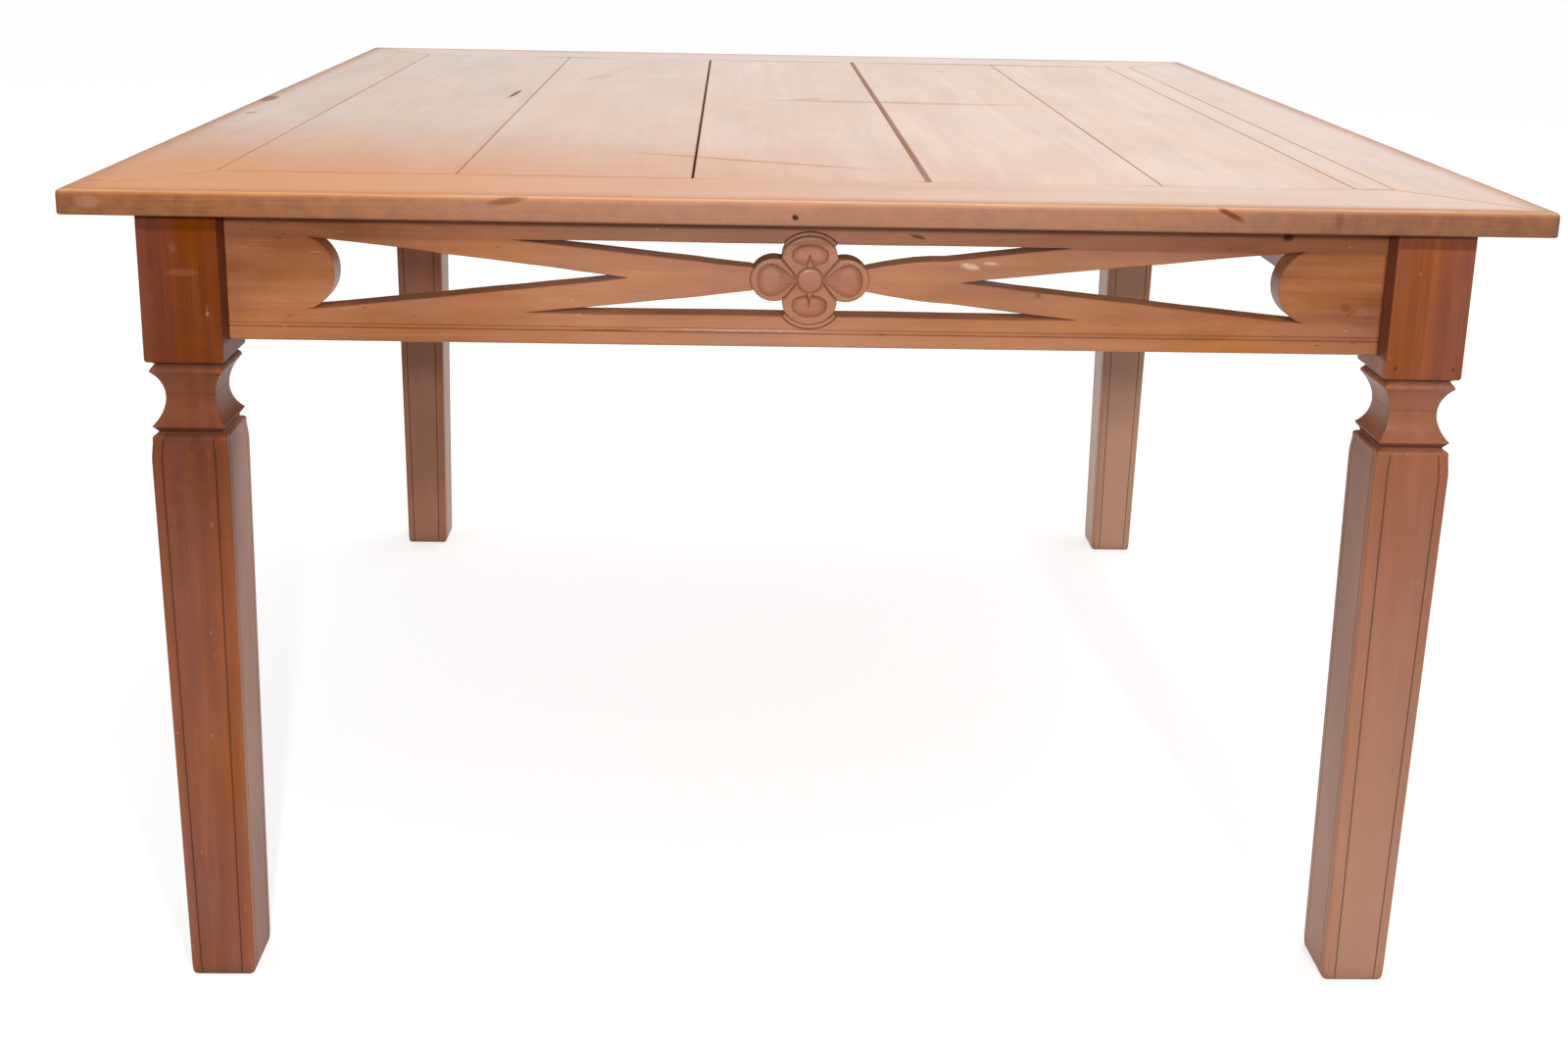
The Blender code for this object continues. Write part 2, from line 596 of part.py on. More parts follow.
def main():
    top_pieces = add_boards() + add_borders()
    end_half = LEG_X - LEG_BLOCK / 2
    side_half = LEG_Y - LEG_BLOCK / 2
    end_forks, end_tips = (END_FORK_LEFT, END_FORK_RIGHT), (END_TIP_LEFT, END_TIP_RIGHT)
    side_forks, side_tips = (SIDE_FORK_LEFT, SIDE_FORK_RIGHT), (SIDE_TIP_LEFT, SIDE_TIP_RIGHT)
    aprons = {
        "front": add_apron("apron_front", (0, -1, 0), end_half, end_forks, end_tips, LEG_Y),
        "back": add_apron("apron_back", (0, 1, 0), end_half, end_forks, end_tips, LEG_Y),
        "left": add_apron("apron_left", (-1, 0, 0), side_half, side_forks, side_tips, LEG_X),
        "right": add_apron("apron_right", (1, 0, 0), side_half, side_forks, side_tips, LEG_X),
    }
    for x_name, x in (("left", -1), ("right", 1)):
        for y_name, y in (("front", -1), ("back", 1)):
            leg = add_leg(f"leg_{y_name}_{x_name}", x, y)
            add_corner_block(f"corner_block_{y_name}_{x_name}", x, y, leg)
    bearer_y = side_half - BEARER_INSET
    add_bearer("bearer_front", -bearer_y, aprons["left"], aprons["right"])
    add_bearer("bearer_back", bearer_y, aprons["left"], aprons["right"])
    end_offset = end_half - END_BUTTON_INSET
    side_offset = side_half - SIDE_BUTTON_INSET
    for number, side in ((1, -1), (2, 1)):
        for name, out in (("front", (0, -1, 0)), ("back", (0, 1, 0))):
            add_button(f"button_{name}_{number}", out, INNER_Y, side * end_offset, aprons[name], top_pieces)
        for name, out in (("left", (-1, 0, 0)), ("right", (1, 0, 0))):
            add_button(f"button_{name}_{number}", out, INNER_X, side * side_offset, aprons[name], top_pieces)


main()
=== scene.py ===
"""Square dining table with a framed board top, square turned legs and pierced aprons with carved flowers.

Metres, Z up, front toward -Y. The visible woodwork replaces the plain solids of the frame,
and the hidden joinery keeps its solids and gets its own materials.
"""

from functools import partial
from math import acos, asin, atan2, cos, hypot, pi, radians, sin, sqrt

import bmesh
import bpy
from bpy.props import FloatProperty, FloatVectorProperty, PointerProperty
from mathutils import Matrix, Vector, noise


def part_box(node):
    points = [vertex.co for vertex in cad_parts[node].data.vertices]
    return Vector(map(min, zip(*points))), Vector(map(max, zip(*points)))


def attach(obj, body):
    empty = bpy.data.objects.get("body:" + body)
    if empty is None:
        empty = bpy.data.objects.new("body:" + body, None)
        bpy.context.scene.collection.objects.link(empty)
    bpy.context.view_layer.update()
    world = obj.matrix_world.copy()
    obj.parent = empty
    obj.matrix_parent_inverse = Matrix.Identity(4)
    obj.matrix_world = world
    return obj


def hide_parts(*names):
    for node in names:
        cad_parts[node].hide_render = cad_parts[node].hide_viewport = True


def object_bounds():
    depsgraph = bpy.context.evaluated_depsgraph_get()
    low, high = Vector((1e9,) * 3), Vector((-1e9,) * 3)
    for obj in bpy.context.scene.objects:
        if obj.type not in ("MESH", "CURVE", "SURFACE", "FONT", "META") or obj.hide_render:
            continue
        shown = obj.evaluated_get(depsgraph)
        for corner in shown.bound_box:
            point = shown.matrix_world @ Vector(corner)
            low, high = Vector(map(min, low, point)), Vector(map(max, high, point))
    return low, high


bl_info = {
    "name": "Dining table",
    "version": (1, 0, 0),
    "blender": (4, 5, 0),
    "location": "3D View > Sidebar > Table",
    "description": "Models the woodwork of a dining table over its packed frame",
    "category": "Object",
}

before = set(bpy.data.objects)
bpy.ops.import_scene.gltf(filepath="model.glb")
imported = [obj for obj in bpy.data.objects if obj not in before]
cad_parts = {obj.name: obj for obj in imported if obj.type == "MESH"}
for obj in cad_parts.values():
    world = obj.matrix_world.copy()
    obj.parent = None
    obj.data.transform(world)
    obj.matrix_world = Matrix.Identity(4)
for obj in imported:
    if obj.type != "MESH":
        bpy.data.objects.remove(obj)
CAD_BOX = [list(corner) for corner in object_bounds()]
HALF_WIDTH, HALF_LENGTH, TOP_Z = CAD_BOX[1]
UNDER_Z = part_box("top_border_front")[0][2]
MIDDLE_Z = (TOP_Z + UNDER_Z) / 2
HALF_THICK = (TOP_Z - UNDER_Z) / 2
SIDE_BORDER = HALF_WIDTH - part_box("top_border_right")[0][0]
END_BORDER = HALF_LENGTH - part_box("top_border_back")[0][1]
LEG_LOW, LEG_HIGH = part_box("leg_back_right")
LEG_X = (LEG_LOW[0] + LEG_HIGH[0]) / 2
LEG_Y = (LEG_LOW[1] + LEG_HIGH[1]) / 2
LEG_HALF = (LEG_HIGH[0] - LEG_LOW[0]) / 2
SEAT_Z = LEG_HIGH[2]
APRON_LOW, APRON_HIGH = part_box("apron_back")
APRON_HALF = (APRON_HIGH[1] - APRON_LOW[1]) / 2
APRON_LENGTH = 2 * LEG_LOW[0]
BOTTOM_Z = APRON_LOW[2]
TOP_RAIL = 0.0295
BOTTOM_RAIL = 0.029
FLOWER_Z = (SEAT_Z - TOP_RAIL + BOTTOM_Z + BOTTOM_RAIL) / 2
# Play of tongues in their grooves and of aprons between the legs
PLAY = 0.0003
# Gap between the ends of the boards and the border
END_GAP = 0.0007
# Half of the gap in a mitre, along the boards
MITRE_GAP = 0.0002
# How far the grime of a joint reaches onto the upper face
JOINT_LINE = 0.0018
# Points less than this below the upper face drop with it at a joint
UPPER_SKIN = 0.001
# Turns of the grain from the X axis
ACROSS = (0, 0, 0)
ALONG = (0, 0, pi / 2)
UPRIGHT = (0, pi / 2, 0)
# Centre, turn, half lengths, strength and colour of each mark on the boards and the side borders
TOP_MARKS = [
    # Scuffs, a short crack and a knot in the left border
    ((-0.0557, -0.4239, TOP_Z), (0, 0, -0.320), (0.155, 0.0065, 0.01), 0.28, "rust"),
    ((0.1350, 0.0481, TOP_Z), (0, 0, -0.027), (0.193, 0.0130, 0.01), 0.19, "rust"),
    ((0.0183, 0.0668, TOP_Z), (0, 0, 0.485), (0.033, 0.0120, 0.01), 0.18, "rust"),
    ((-0.2554, 0.2675, TOP_Z), (0, 0, 1.221), (0.047, 0.0120, 0.01), 0.12, "rust"),
    ((-0.3417, 0.0689, TOP_Z), (0, 0, 1.500), (0.046, 0.0034, 0.01), 0.85, "grime_and_shade"),
    ((-0.6227, -0.0190, TOP_Z), (0, 0, 1.577), (0.034, 0.0110, 0.01), 0.6, "grime_and_shade"),
    ((-0.6080, -0.1450, TOP_Z), (0, 0, 1.2), (0.012, 0.0050, 0.01), 0.35, "grime_and_shade"),
    ((-0.6160, -0.5900, TOP_Z), (0, 0, 0.6), (0.009, 0.0035, 0.01), 0.35, "grime_and_shade"),
    # Old polish in the widest joint
    ((0.1085, 0.0, TOP_Z - 0.001), (0, 0, 0), (0.0028, 0.95, 0.006), 0.70, "apron_dark"),
]
WARM_CORNER = (-HALF_WIDTH, -HALF_LENGTH, TOP_Z)
# The weights say how much the rings, bands, fibre and clouds count in the figure of the wood
TOP_FINISH = {
    "kind": "top",
    "weights": (0.08, 0.38, 0.05, 0.72),
    "roughness": 0.38,
    "gloss": 0.5,
    "specks": 0.3,
    "flush": WARM_CORNER,
}
APRON_FINISH = {
    "kind": "apron",
    "weights": (0.06, 0.12, 0.28, 0.98),
    "roughness": 0.28,
    "gloss": 0.40,
    "specks": 1.0,
}
LEG_FINISH = {
    "kind": "leg",
    "weights": (0.08, 0.24, 0.36, 0.68),
    "roughness": 0.30,
    "gloss": 0.24,
    "specks": 0.5,
}
# Place of each leg, its tone, how much paler its block, neck and foot are painted, partly as painted light,
# and how streaked its block is
LEGS = [
    ("front_left", -1, -1, 0.46, (0.0, 0.14, 0.10), -0.22),
    ("front_right", 1, -1, 0.70, (0.07, 0.23, 0.66), 0.36),
    ("back_left", -1, 1, 0.72, (0.04, 0.27, 0.50), 0.0),
    ("back_right", 1, 1, 1.0, (0.55, 0.85, 1.0), 0.0),
]
# Direction, reach, half length and half width of each petal
PETALS = [
    (0.0, 0.0530, 0.0210, 0.0195),
    (pi / 2, 0.0400, 0.0205, 0.0250),
    (pi, 0.0530, 0.0210, 0.0195),
    (-pi / 2, 0.0405, 0.0205, 0.0245),
]
UPPER_PETAL, LOWER_PETAL = 1, 3


def linear(code):
    """Linear colour of an sRGB hex value."""
    parts = [int(code[i : i + 2], 16) / 255 for i in (1, 3, 5)]
    return tuple(c / 12.92 if c <= 0.04045 else ((c + 0.055) / 1.055) ** 2.4 for c in parts)


def length(name, description, default):
    """Length that a user can change."""
    return FloatProperty(name=name, description=description, default=default, unit="LENGTH")


def tint(name, description, code):
    """Colour that a user can change."""
    return FloatVectorProperty(
        name=name, description=description, default=linear(code), size=3, subtype="COLOR"
    )


class TableSizes(bpy.types.PropertyGroup):
    """Sizes of the visible woodwork"""

    edge_round: length("Edge round", "Radius along the upper outer edge of the top", 0.0052)
    corner_round: length("Corner round", "Radius of the top's corners in plan", 0.005)
    arris: length("Arris", "Bevel along the joints of the top", 0.0006)
    worn_arris: length("Worn arris", "Bevel along the widest joint of the top", 0.0030)
    hollow: length("Board hollow", "How far the boards have cupped", 0.0004)
    tongue: length("Tongue", "Thickness of the boards' tongues", 0.007)
    tongue_reach: length("Tongue reach", "Length of the boards' tongues", 0.009)
    block_height: length("Leg block height", "Height of the square block above the neck", 0.1415)
    neck_height: length("Neck height", "Height of the hollowed neck", 0.067)
    neck_groove: length("Neck groove", "Width across the grooves of the neck", 0.056)
    neck_lip: length("Neck lip", "Width across the lips of the neck", 0.064)
    neck_waist: length("Neck waist", "Width across the hollow of the neck", 0.044)
    shoulder: length("Shoulder", "Width of the lower leg at its top", 0.066)
    swell: length("Swell", "Greatest width of the lower leg", 0.069)
    foot: length("Foot", "Width of the lower leg at the floor", 0.060)
    line_inset: length("Line inset", "From an edge of the leg to its cut line", 0.0096)
    line_inset_inner: length("Line inset, inner", "The same toward the middle of the table", 0.0118)
    line_depth: length("Line depth", "Depth of the cut lines", 0.0011)
    top_rail: length("Top rail", "Height of the apron above its openings", TOP_RAIL)
    bottom_rail: length("Bottom rail", "Height of the apron below its openings", BOTTOM_RAIL)
    strap_neck: length("Strap neck", "Height of the straps beside the flower", 0.0215)
    dish: length("Petal dish", "Depth of the hollowed petals", 0.0090)
    petal_rim: length("Petal rim", "Width of the petals' flat rims", 0.0058)
    boss: length("Boss", "Radius of the flower's middle", 0.0105)


class TableColours(bpy.types.PropertyGroup):
    """Colours of the finishes"""

    top_pale: tint("Top, pale", "Early wood of the top", "#E3AD84")
    top_dark: tint("Top, dark", "Late wood of the top", "#C98F63")
    apron_pale: tint("Apron, pale", "Early wood of the aprons", "#C07F55")
    apron_dark: tint("Apron, dark", "Late wood of the aprons", "#905632")
    leg_pale: tint("Leg, pale", "Early wood of the legs", "#A4582B")
    leg_dark: tint("Leg, dark", "Late wood of the legs", "#74381B")
    bare_pale: tint("Bare wood, pale", "Early wood of the hidden joinery", "#C79E6E")
    bare_dark: tint("Bare wood, dark", "Late wood of the hidden joinery", "#9C7145")
    yellowed: tint("Yellowed", "Finish of the top where it has yellowed", "#D88C4E")
    # The faded colour also paints the highlight in the middle of the front apron and light on the legs
    faded_and_lit: tint("Faded", "Finish where it has gone pale", "#D0A187")
    rust: tint("Scuff", "Reddish scuffs on the top", "#B4521E")
    nick: tint("Nick", "Bare wood in small nicks", "#E6C9AE")
    # The grime colour also paints shade: under the top, where the aprons meet the legs and in the petals'
    # hollows
    grime_and_shade: tint("Grime", "Old wax and dust in joints and cut lines", "#40261A")
    steel: tint("Steel", "Screws", "#A9A7A2")


def deselect():
    """Leave edit mode, with nothing selected."""
    if bpy.context.object and bpy.context.object.mode != "OBJECT":
        bpy.ops.object.mode_set(mode="OBJECT")
    bpy.ops.object.select_all(action="DESELECT")


def choose(piece):
    """Select one piece and make it active."""
    deselect()
    piece.select_set(True)
    bpy.context.view_layer.objects.active = piece


def loft(name, loops, **layers):
    """Closed piece that is extruded from each loop of points to the next, with painted layers of numbers."""
    deselect()
    bpy.ops.mesh.primitive_circle_add(vertices=len(loops[0]), fill_type="NGON", enter_editmode=True)
    piece = bpy.context.object
    piece.name = name
    for number, points in enumerate(loops):
        if number:
            bpy.ops.mesh.extrude_region_move()
        shape = bmesh.from_edit_mesh(piece.data)
        shape.verts.index_update()
        newest = sorted((vert for vert in shape.verts if vert.select), key=lambda vert: vert.index)
        for vert, point in zip(newest, points):
            vert.co = point
        bmesh.update_edit_mesh(piece.data)
    bpy.ops.mesh.select_all(action="SELECT")
    bpy.ops.mesh.normals_make_consistent(inside=False)
    bpy.ops.object.mode_set(mode="OBJECT")
    piece.location = (0, 0, 0)
    piece.rotation_euler = (0, 0, 0)
    for layer, values in layers.items():
        paint(piece, layer, values)
    return piece


def copy_of(model, name):
    """Copy of a model, with its own mesh."""
    choose(model)
    bpy.ops.object.duplicate(linked=False)
    piece = bpy.context.object
    piece.name = name
    return piece


def paint(piece, name, values):
    """Number on every vertex that a material reads by name."""
    layer = piece.data.attributes.get(name) or piece.data.attributes.new(name, "FLOAT", "POINT")
    layer.data.foreach_set("value", values)


def cut(piece, cutter):
    """Cut one piece away from another and drop it."""
    choose(piece)
    boolean = piece.modifiers.new("cut", "BOOLEAN")
    boolean.operation = "DIFFERENCE"
    boolean.solver = "EXACT"
    boolean.object = cutter
    bpy.ops.object.modifier_apply(modifier=boolean.name)
    bpy.data.meshes.remove(cutter.data)


def settle(piece, wood, tone, nodes, angle=35):
    """Last touches to a piece: its material, tone, shading and the nodes that it stands for."""
    choose(piece)
    bpy.ops.object.transform_apply(location=True, rotation=True, scale=True)
    bpy.ops.object.shade_smooth_by_angle(angle=radians(angle))
    piece.data.materials.clear()
    piece.data.materials.append(wood)
    paint(piece, "tone", [tone] * len(piece.data.vertices))
    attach(piece, "root")
    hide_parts(*nodes)


def arc(centre, radius, start, stop, steps):
    """Points along an arc of a circle, both ends among them."""
    angles = [start + (stop - start) * i / steps for i in range(steps + 1)]
    return [(centre[0] + radius * cos(a), centre[1] + radius * sin(a)) for a in angles]


def sagged(half_chord, sag):
    """Radius and half angle of an arc with a given chord and sag."""
    radius = (half_chord * half_chord + sag * sag) / (2 * sag)
    return radius, acos((radius - sag) / radius)


def feed(node, values):
    """Set a node's sockets to values, or link them from other sockets."""
    for key, value in values.items():
        if isinstance(value, bpy.types.NodeSocket):
            node.id_data.links.new(value, node.inputs[key])
        else:
            node.inputs[key].default_value = value


def add_node(tree, kind, values=None, out=0, stops=(), **settings):
    """Add a node with its settings, feed its sockets and return one of its outputs, or all of them."""
    node = tree.nodes.new("ShaderNode" + kind)
    for key, value in settings.items():
        setattr(node, key, value)
    feed(node, values or {})
    if stops:
        while len(node.color_ramp.elements) < len(stops):
            node.color_ramp.elements.new(1.0)
        for element, (position, colour) in zip(node.color_ramp.elements, stops):
            element.position = position
            element.color = (*colour, 1.0)
    return node.outputs if out is None else node.outputs[out]


# Setting and output of nodes that mix two colours, by a share in socket 0, from socket 6 to socket 7
BLEND = {"data_type": "RGBA", "out": 2}


def new_material(name):
    """Material, its shader and the function that adds nodes to it."""
    made = bpy.data.materials.new(name)
    made.use_nodes = True
    return made, made.node_tree.nodes["Principled BSDF"], partial(add_node, made.node_tree)


def fibres(add, place, long, wide, detail, roughness=0.5, start=(0, 0, 0)):
    """Noise that is drawn out along the grain, with a length and a width in metres."""
    drawn = add("Mapping", {"Vector": place, "Location": start, "Scale": (1 / long, 1 / wide, 1 / wide)})
    return add("TexNoise", {"Vector": drawn, "Scale": 1.0, "Detail": detail, "Roughness": roughness})


def varnished_wood(name, turn, marks, kind, weights, roughness, gloss, specks, flush=None):
    """Planed hardwood under a worn satin varnish: soft figure, short pores, grime in the joints."""
    found = bpy.data.materials.get(name)
    if found:
        return found
    colours = bpy.context.scene.table_colours
    pale = getattr(colours, kind + "_pale")
    dark = getattr(colours, kind + "_dark")
    made, shader, add = new_material(name)
    place = add("TexCoord", out="Object")
    tone, seam, wear, fade, brown, streaky = (
        add("Attribute", out="Fac", attribute_name=layer)
        for layer in ("tone", "seam", "wear", "fade", "brown", "streaky")
    )
    grain = add("Mapping", {"Vector": place, "Rotation": turn})
    # Each board is cut from another place in the tree
    own = add("VectorMath", {0: tone, 1: (3.1, 0.61, 0.37), 2: grain}, operation="MULTIPLY_ADD")
    # Growth rings 20 mm apart, cut at a slight slant so that they close in long arches
    tilted = {"Location": (0, 0.06, 0.13), "Rotation": (0, 0.03, 0.045), "Scale": (0.12, 1, 1)}
    ringed = add("Mapping", {"Vector": own, **tilted})
    arches = {"Scale": 16.0, "Distortion": 9.0, "Detail": 4.0, "Detail Scale": 0.8, "Detail Roughness": 0.65}
    rings = add("TexWave", {"Vector": ringed, **arches}, out="Fac", wave_type="RINGS", rings_direction="X")
    # Broad streaks 9 mm wide and 400 mm long
    bands = fibres(add, own, 0.40, 0.009, 3.0, 0.55)
    # Fine fibre 1 mm wide and 90 mm long
    streaks = fibres(add, own, 0.09, 0.001, 4.0, 0.6)
    # Clouds in the stain, a hand's breadth across
    clouds = fibres(add, own, 0.20, 0.07, 5.0, 0.6)
    # Pores are 0.2 mm wide and are drawn 0.7 mm wide so that they show
    pores = fibres(add, own, 0.009, 0.0007, 1.0)
    figure = add("Math", {0: rings, 1: weights[0]}, operation="MULTIPLY")
    for layer, weight in zip((bands, streaks, clouds), weights[1:]):
        figure = add("Math", {0: layer, 1: weight, 2: figure}, operation="MULTIPLY_ADD")
    swing = add("Math", {0: bands, 1: 0.5}, operation="SUBTRACT")
    figure = add("Math", {0: swing, 1: streaky, 2: figure}, operation="MULTIPLY_ADD")
    middle = sum(weights) / 2
    stops = [(middle - 0.2, pale), (middle + 0.2, dark)]
    colour = add("ValToRGB", {"Fac": figure}, out="Color", stops=stops)
    pitted = add("MapRange", {"Value": pores, "From Min": 0.60, "From Max": 0.76, "To Max": 0.35 * specks})
    colour = add("Mix", {0: pitted, 6: colour, 7: (*dark, 1.0)}, **BLEND)
    # The hue drifts between red and yellow over a forearm's length
    drift = fibres(add, own, 0.30, 0.10, 4.0, 0.6, (5.3, 1.7, 0.9))
    drifting = {"Value": drift, "From Min": 0.3, "From Max": 0.7}
    hue = add("MapRange", {**drifting, "To Min": 0.491, "To Max": 0.504})
    depth = add("MapRange", {**drifting, "To Min": 0.86, "To Max": 1.12})
    level = add("MapRange", {"Value": tone, "To Min": 0.78, "To Max": 1.22})
    colour = add("HueSaturation", {"Hue": hue, "Saturation": depth, "Value": level, "Color": colour})
    # The legs are painted paler where their layer says: toward the feet this is painted light from the
    # floor, and on one side of the front left leg painted light from the lamps
    colour = add("Mix", {0: fade, 6: colour, 7: (*colours.faded_and_lit, 1.0)}, **BLEND)
    if flush:
        # The finish has yellowed more toward one corner
        near = {"Vector": place, "Location": flush, "Scale": (0.95, 0.46, 0.46)}
        warm = add("Mapping", near, vector_type="TEXTURE")
        warm = add("TexGradient", {"Vector": warm}, out="Fac", gradient_type="SPHERICAL")
        warm = add("MapRange", {"Value": warm, "From Max": 0.7, "To Max": 0.95})
        patches = add("MapRange", {"Value": drift, "From Min": 0.48, "From Max": 0.72, "To Max": 0.45})
        stain = add("Math", {0: warm, 1: patches}, operation="MAXIMUM")
        older = add("Math", {0: brown, 1: 0.65}, operation="MULTIPLY")
        stain = add("Math", {0: stain, 1: older}, operation="MAXIMUM")
        colour = add("Mix", {0: stain, 6: colour, 7: (*colours.yellowed, 1.0)}, **BLEND)
    # The outer edge has darkened with age, in patches 12 mm across
    patched = add("TexNoise", {"Vector": own, "Scale": 80.0, "Detail": 4.0, "Roughness": 0.65})
    patched = add("MapRange", {"Value": patched, "From Min": 0.35, "From Max": 0.65, "To Min": 0.80})
    aged = add("Math", {0: brown, 1: patched}, operation="MULTIPLY")
    colour = add("Mix", {0: aged, 6: colour, 7: (0.37, 0.36, 0.54, 1.0)}, **BLEND, blend_type="MULTIPLY")
    # Edges are painted paler in patches: worn where handled, and painted highlights on the arrises of the
    # top and the lips of the legs
    worn = [min(1.0, c * k) for c, k in zip(pale, (1.22, 1.16, 0.90) if flush else (1.25, 1.25, 1.25))]
    rubs = {"Value": streaks, "From Min": 0.38, "From Max": 0.62, "To Min": 0.05, "To Max": 0.75}
    rubbed_and_highlight = add("Math", {0: add("MapRange", rubs), 1: wear}, operation="MULTIPLY")
    colour = add("Mix", {0: rubbed_and_highlight, 6: colour, 7: (*worn, 1.0)}, **BLEND)
    nicks = [
        # Spacing, length, width, slant and strength of pale specks, pale scratches and dark dents
        (9.0, 0.0026, 0.0015, 0.2, 0.36 * specks, colours.nick),
        (11.0, 0.0080, 0.0006, 0.7, 0.30 * specks, colours.nick),
        (9.0, 0.0034, 0.0010, 0.1, 0.50 * specks, colours.grime_and_shade),
    ]
    for cell, long, wide, slant, most, shade in nicks:
        turned = {"Location": (cell, 0, 0), "Rotation": (slant, slant, slant)}
        nicked = add("Mapping", {"Vector": own, **turned, "Scale": (1 / long, 1 / wide, 1 / wide)})
        wobble = add("TexNoise", {"Vector": nicked, "Scale": 1.3, "Detail": 2.0}, out="Color")
        nicked = add("VectorMath", {0: wobble, 1: (1.1, 1.1, 1.1), 2: nicked}, operation="MULTIPLY_ADD")
        spots = add("TexVoronoi", {"Vector": nicked, "Scale": 1 / cell}, out=None)
        fall = {"From Min": 0.5 / cell, "From Max": 0.9 / cell, "To Min": most, "To Max": 0.0}
        spot = add("MapRange", {"Value": spots["Distance"], **fall})
        few = add("Math", {0: spots["Color"], 1: 0.58}, operation="GREATER_THAN")
        spot = add("Math", {0: spot, 1: few}, operation="MULTIPLY")
        colour = add("Mix", {0: spot, 6: colour, 7: (*shade, 1.0)}, **BLEND)
    # Single marks with ragged outlines, which wander by 3 mm at most
    ragged = add("TexNoise", {"Vector": place, "Scale": 300.0, "Detail": 3.0}, out="Color")
    ragged = add("VectorMath", {0: ragged, 1: (0.003, 0.003, 0.003), 2: place}, operation="MULTIPLY_ADD")
    soiled_and_shaded = add("Math", {0: seam, 1: brown}, operation="MAXIMUM")
    for centre, angles, size, strength, shade in marks:
        spread = {"Location": [c + 0.0015 for c in centre], "Rotation": angles, "Scale": size}
        spot = add("Mapping", {"Vector": ragged, **spread}, vector_type="TEXTURE")
        spot = add("TexGradient", {"Vector": spot}, out="Fac", gradient_type="SPHERICAL")
        spot = add("MapRange", {"Value": spot, "From Max": 0.45, "To Max": strength})
        soiled_and_shaded = add("Math", {0: soiled_and_shaded, 1: spot}, operation="MAXIMUM")
        colour = add("Mix", {0: spot, 6: colour, 7: (*getattr(colours, shade), 1.0)}, **BLEND)
    # Grime in joints and cut lines, and painted shade under the top, beside the aprons on the legs and in
    # the petals' hollows
    colour = add("Mix", {0: seam, 6: colour, 7: (*colours.grime_and_shade, 1.0)}, **BLEND)
    cloudy = {"From Min": 0.3, "From Max": 0.75, "To Min": roughness - 0.03, "To Max": roughness + 0.05}
    dull = add("MapRange", {"Value": clouds, **cloudy})
    dull = add("Math", {0: seam, 1: 0.3, 2: dull}, operation="MULTIPLY_ADD")
    relief = add("Math", {0: pitted, 1: -1.2, 2: streaks}, operation="MULTIPLY_ADD")
    bump = add("Bump", {"Height": relief, "Strength": 0.2, "Distance": 0.0004})
    shine = add("MapRange", {"Value": soiled_and_shaded, "To Min": gloss, "To Max": 0.05})
    feed(shader, {"Base Color": colour, "Roughness": dull, "Normal": bump})
    feed(shader, {"IOR": 1.47, "Specular IOR Level": shine})
    if flush:
        # A clear coat is whole away from that corner and gone where the surface is soiled and where shade is
        # painted
        whole = add("MapRange", {"Value": warm, "From Max": 0.95, "To Min": 1.0, "To Max": 0.0})
        clean = add("MapRange", {"Value": soiled_and_shaded, "From Max": 0.3, "To Min": 1.0, "To Max": 0.0})
        whole = add("Math", {0: whole, 1: clean}, operation="MULTIPLY")
        feed(shader, {"Coat Weight": whole, "Coat Roughness": 0.22})
    return made


def border_loops(width, other, half_length, place):
    """Loops of a border board from mitre to mitre, and the grime, the wear and painted highlight, and the
    age on their points.
    """
    sizes = bpy.context.scene.table_sizes
    r, a, h = sizes.edge_round, sizes.arris, HALF_THICK
    groove, deep = sizes.tongue / 2 + PLAY, sizes.tongue_reach + PLAY
    # Each point of the section has its place across and in height, its grime, its wear and painted
    # highlight, and its age
    section = [(0.0, -h, 0.5, 0.0, 0.6)]
    section += [(u, z, 0.05, 0.1, 1.0) for u, z in arc((width - r / 2, r / 2 - h), r / 2, -pi / 2, 0.0, 6)]
    rub_and_highlight = (0.1, 0.1, 0.2, 0.5, 1.0, 0.5, 0.0)
    age = (1.0, 0.95, 0.75, 0.5, 0.3, 0.36, 0.40)
    line = (0.0, 0.0, 0.0, 0.0, 0.0, 0.05, 0.12)
    rounding = arc((width - r, h - r), r, 0.0, pi / 2, 6)
    section += [(u, z, line[i], rub_and_highlight[i], age[i]) for i, (u, z) in enumerate(rounding)]
    section += [(width - 0.010, h, 0.0, 0.0, 0.26), (width - 0.024, h, 0.0, 0.0, 0.0)]
    section += [(u, h, 0.0, 0.0, 0.0) for u in (width * 0.7, width * 0.5, width * 0.25, 0.004, JOINT_LINE)]
    section += [(a, h, 0.15, 0.0, 0.0), (0.0, h - a, 0.55, 0.0, 0.0)]
    slot = [(0.0, groove), (deep, groove), (deep, -groove), (0.0, -groove)]
    section += [(u, z, 0.9, 0.0, 0.0) for u, z in slot]
    # Distance back from the mitre, drop of the upper face and grime near each end
    ends = [(0.0, 0.0004, 0.45), (0.0007, 0.0001, 0.2)]
    ends += [(back, 0.0, 0.0) for back in (0.002, 0.004, 0.006)]
    steps = [(-1.0, *end) for end in ends]
    steps += [(k / 5, *ends[-1]) for k in range(-4, 5)]
    steps += [(1.0, *end) for end in reversed(ends)]
    loops, seam, wear, brown = [], [], [], []
    for t, back, drop, dirt_and_shade in steps:
        loop = []
        for u, z, grime_and_shade, rub_and_highlight, age in section:
            reach = half_length - other * (1.0 - u / width) - MITRE_GAP - back
            gone = max(0.0, sizes.corner_round - back) if abs(t) == 1.0 else 0.0
            pull = sizes.corner_round - sqrt(sizes.corner_round**2 - gone**2)
            out = min(u, width - pull)
            low = drop if z > h - UPPER_SKIN else 0.0
            loop.append(place @ Vector((t * reach, out, z - low)))
            seam.append(max(grime_and_shade, dirt_and_shade))
            wear.append(rub_and_highlight)
            brown.append(age)
        loops.append(loop)
    return loops, {"seam": seam, "wear": wear, "brown": brown}


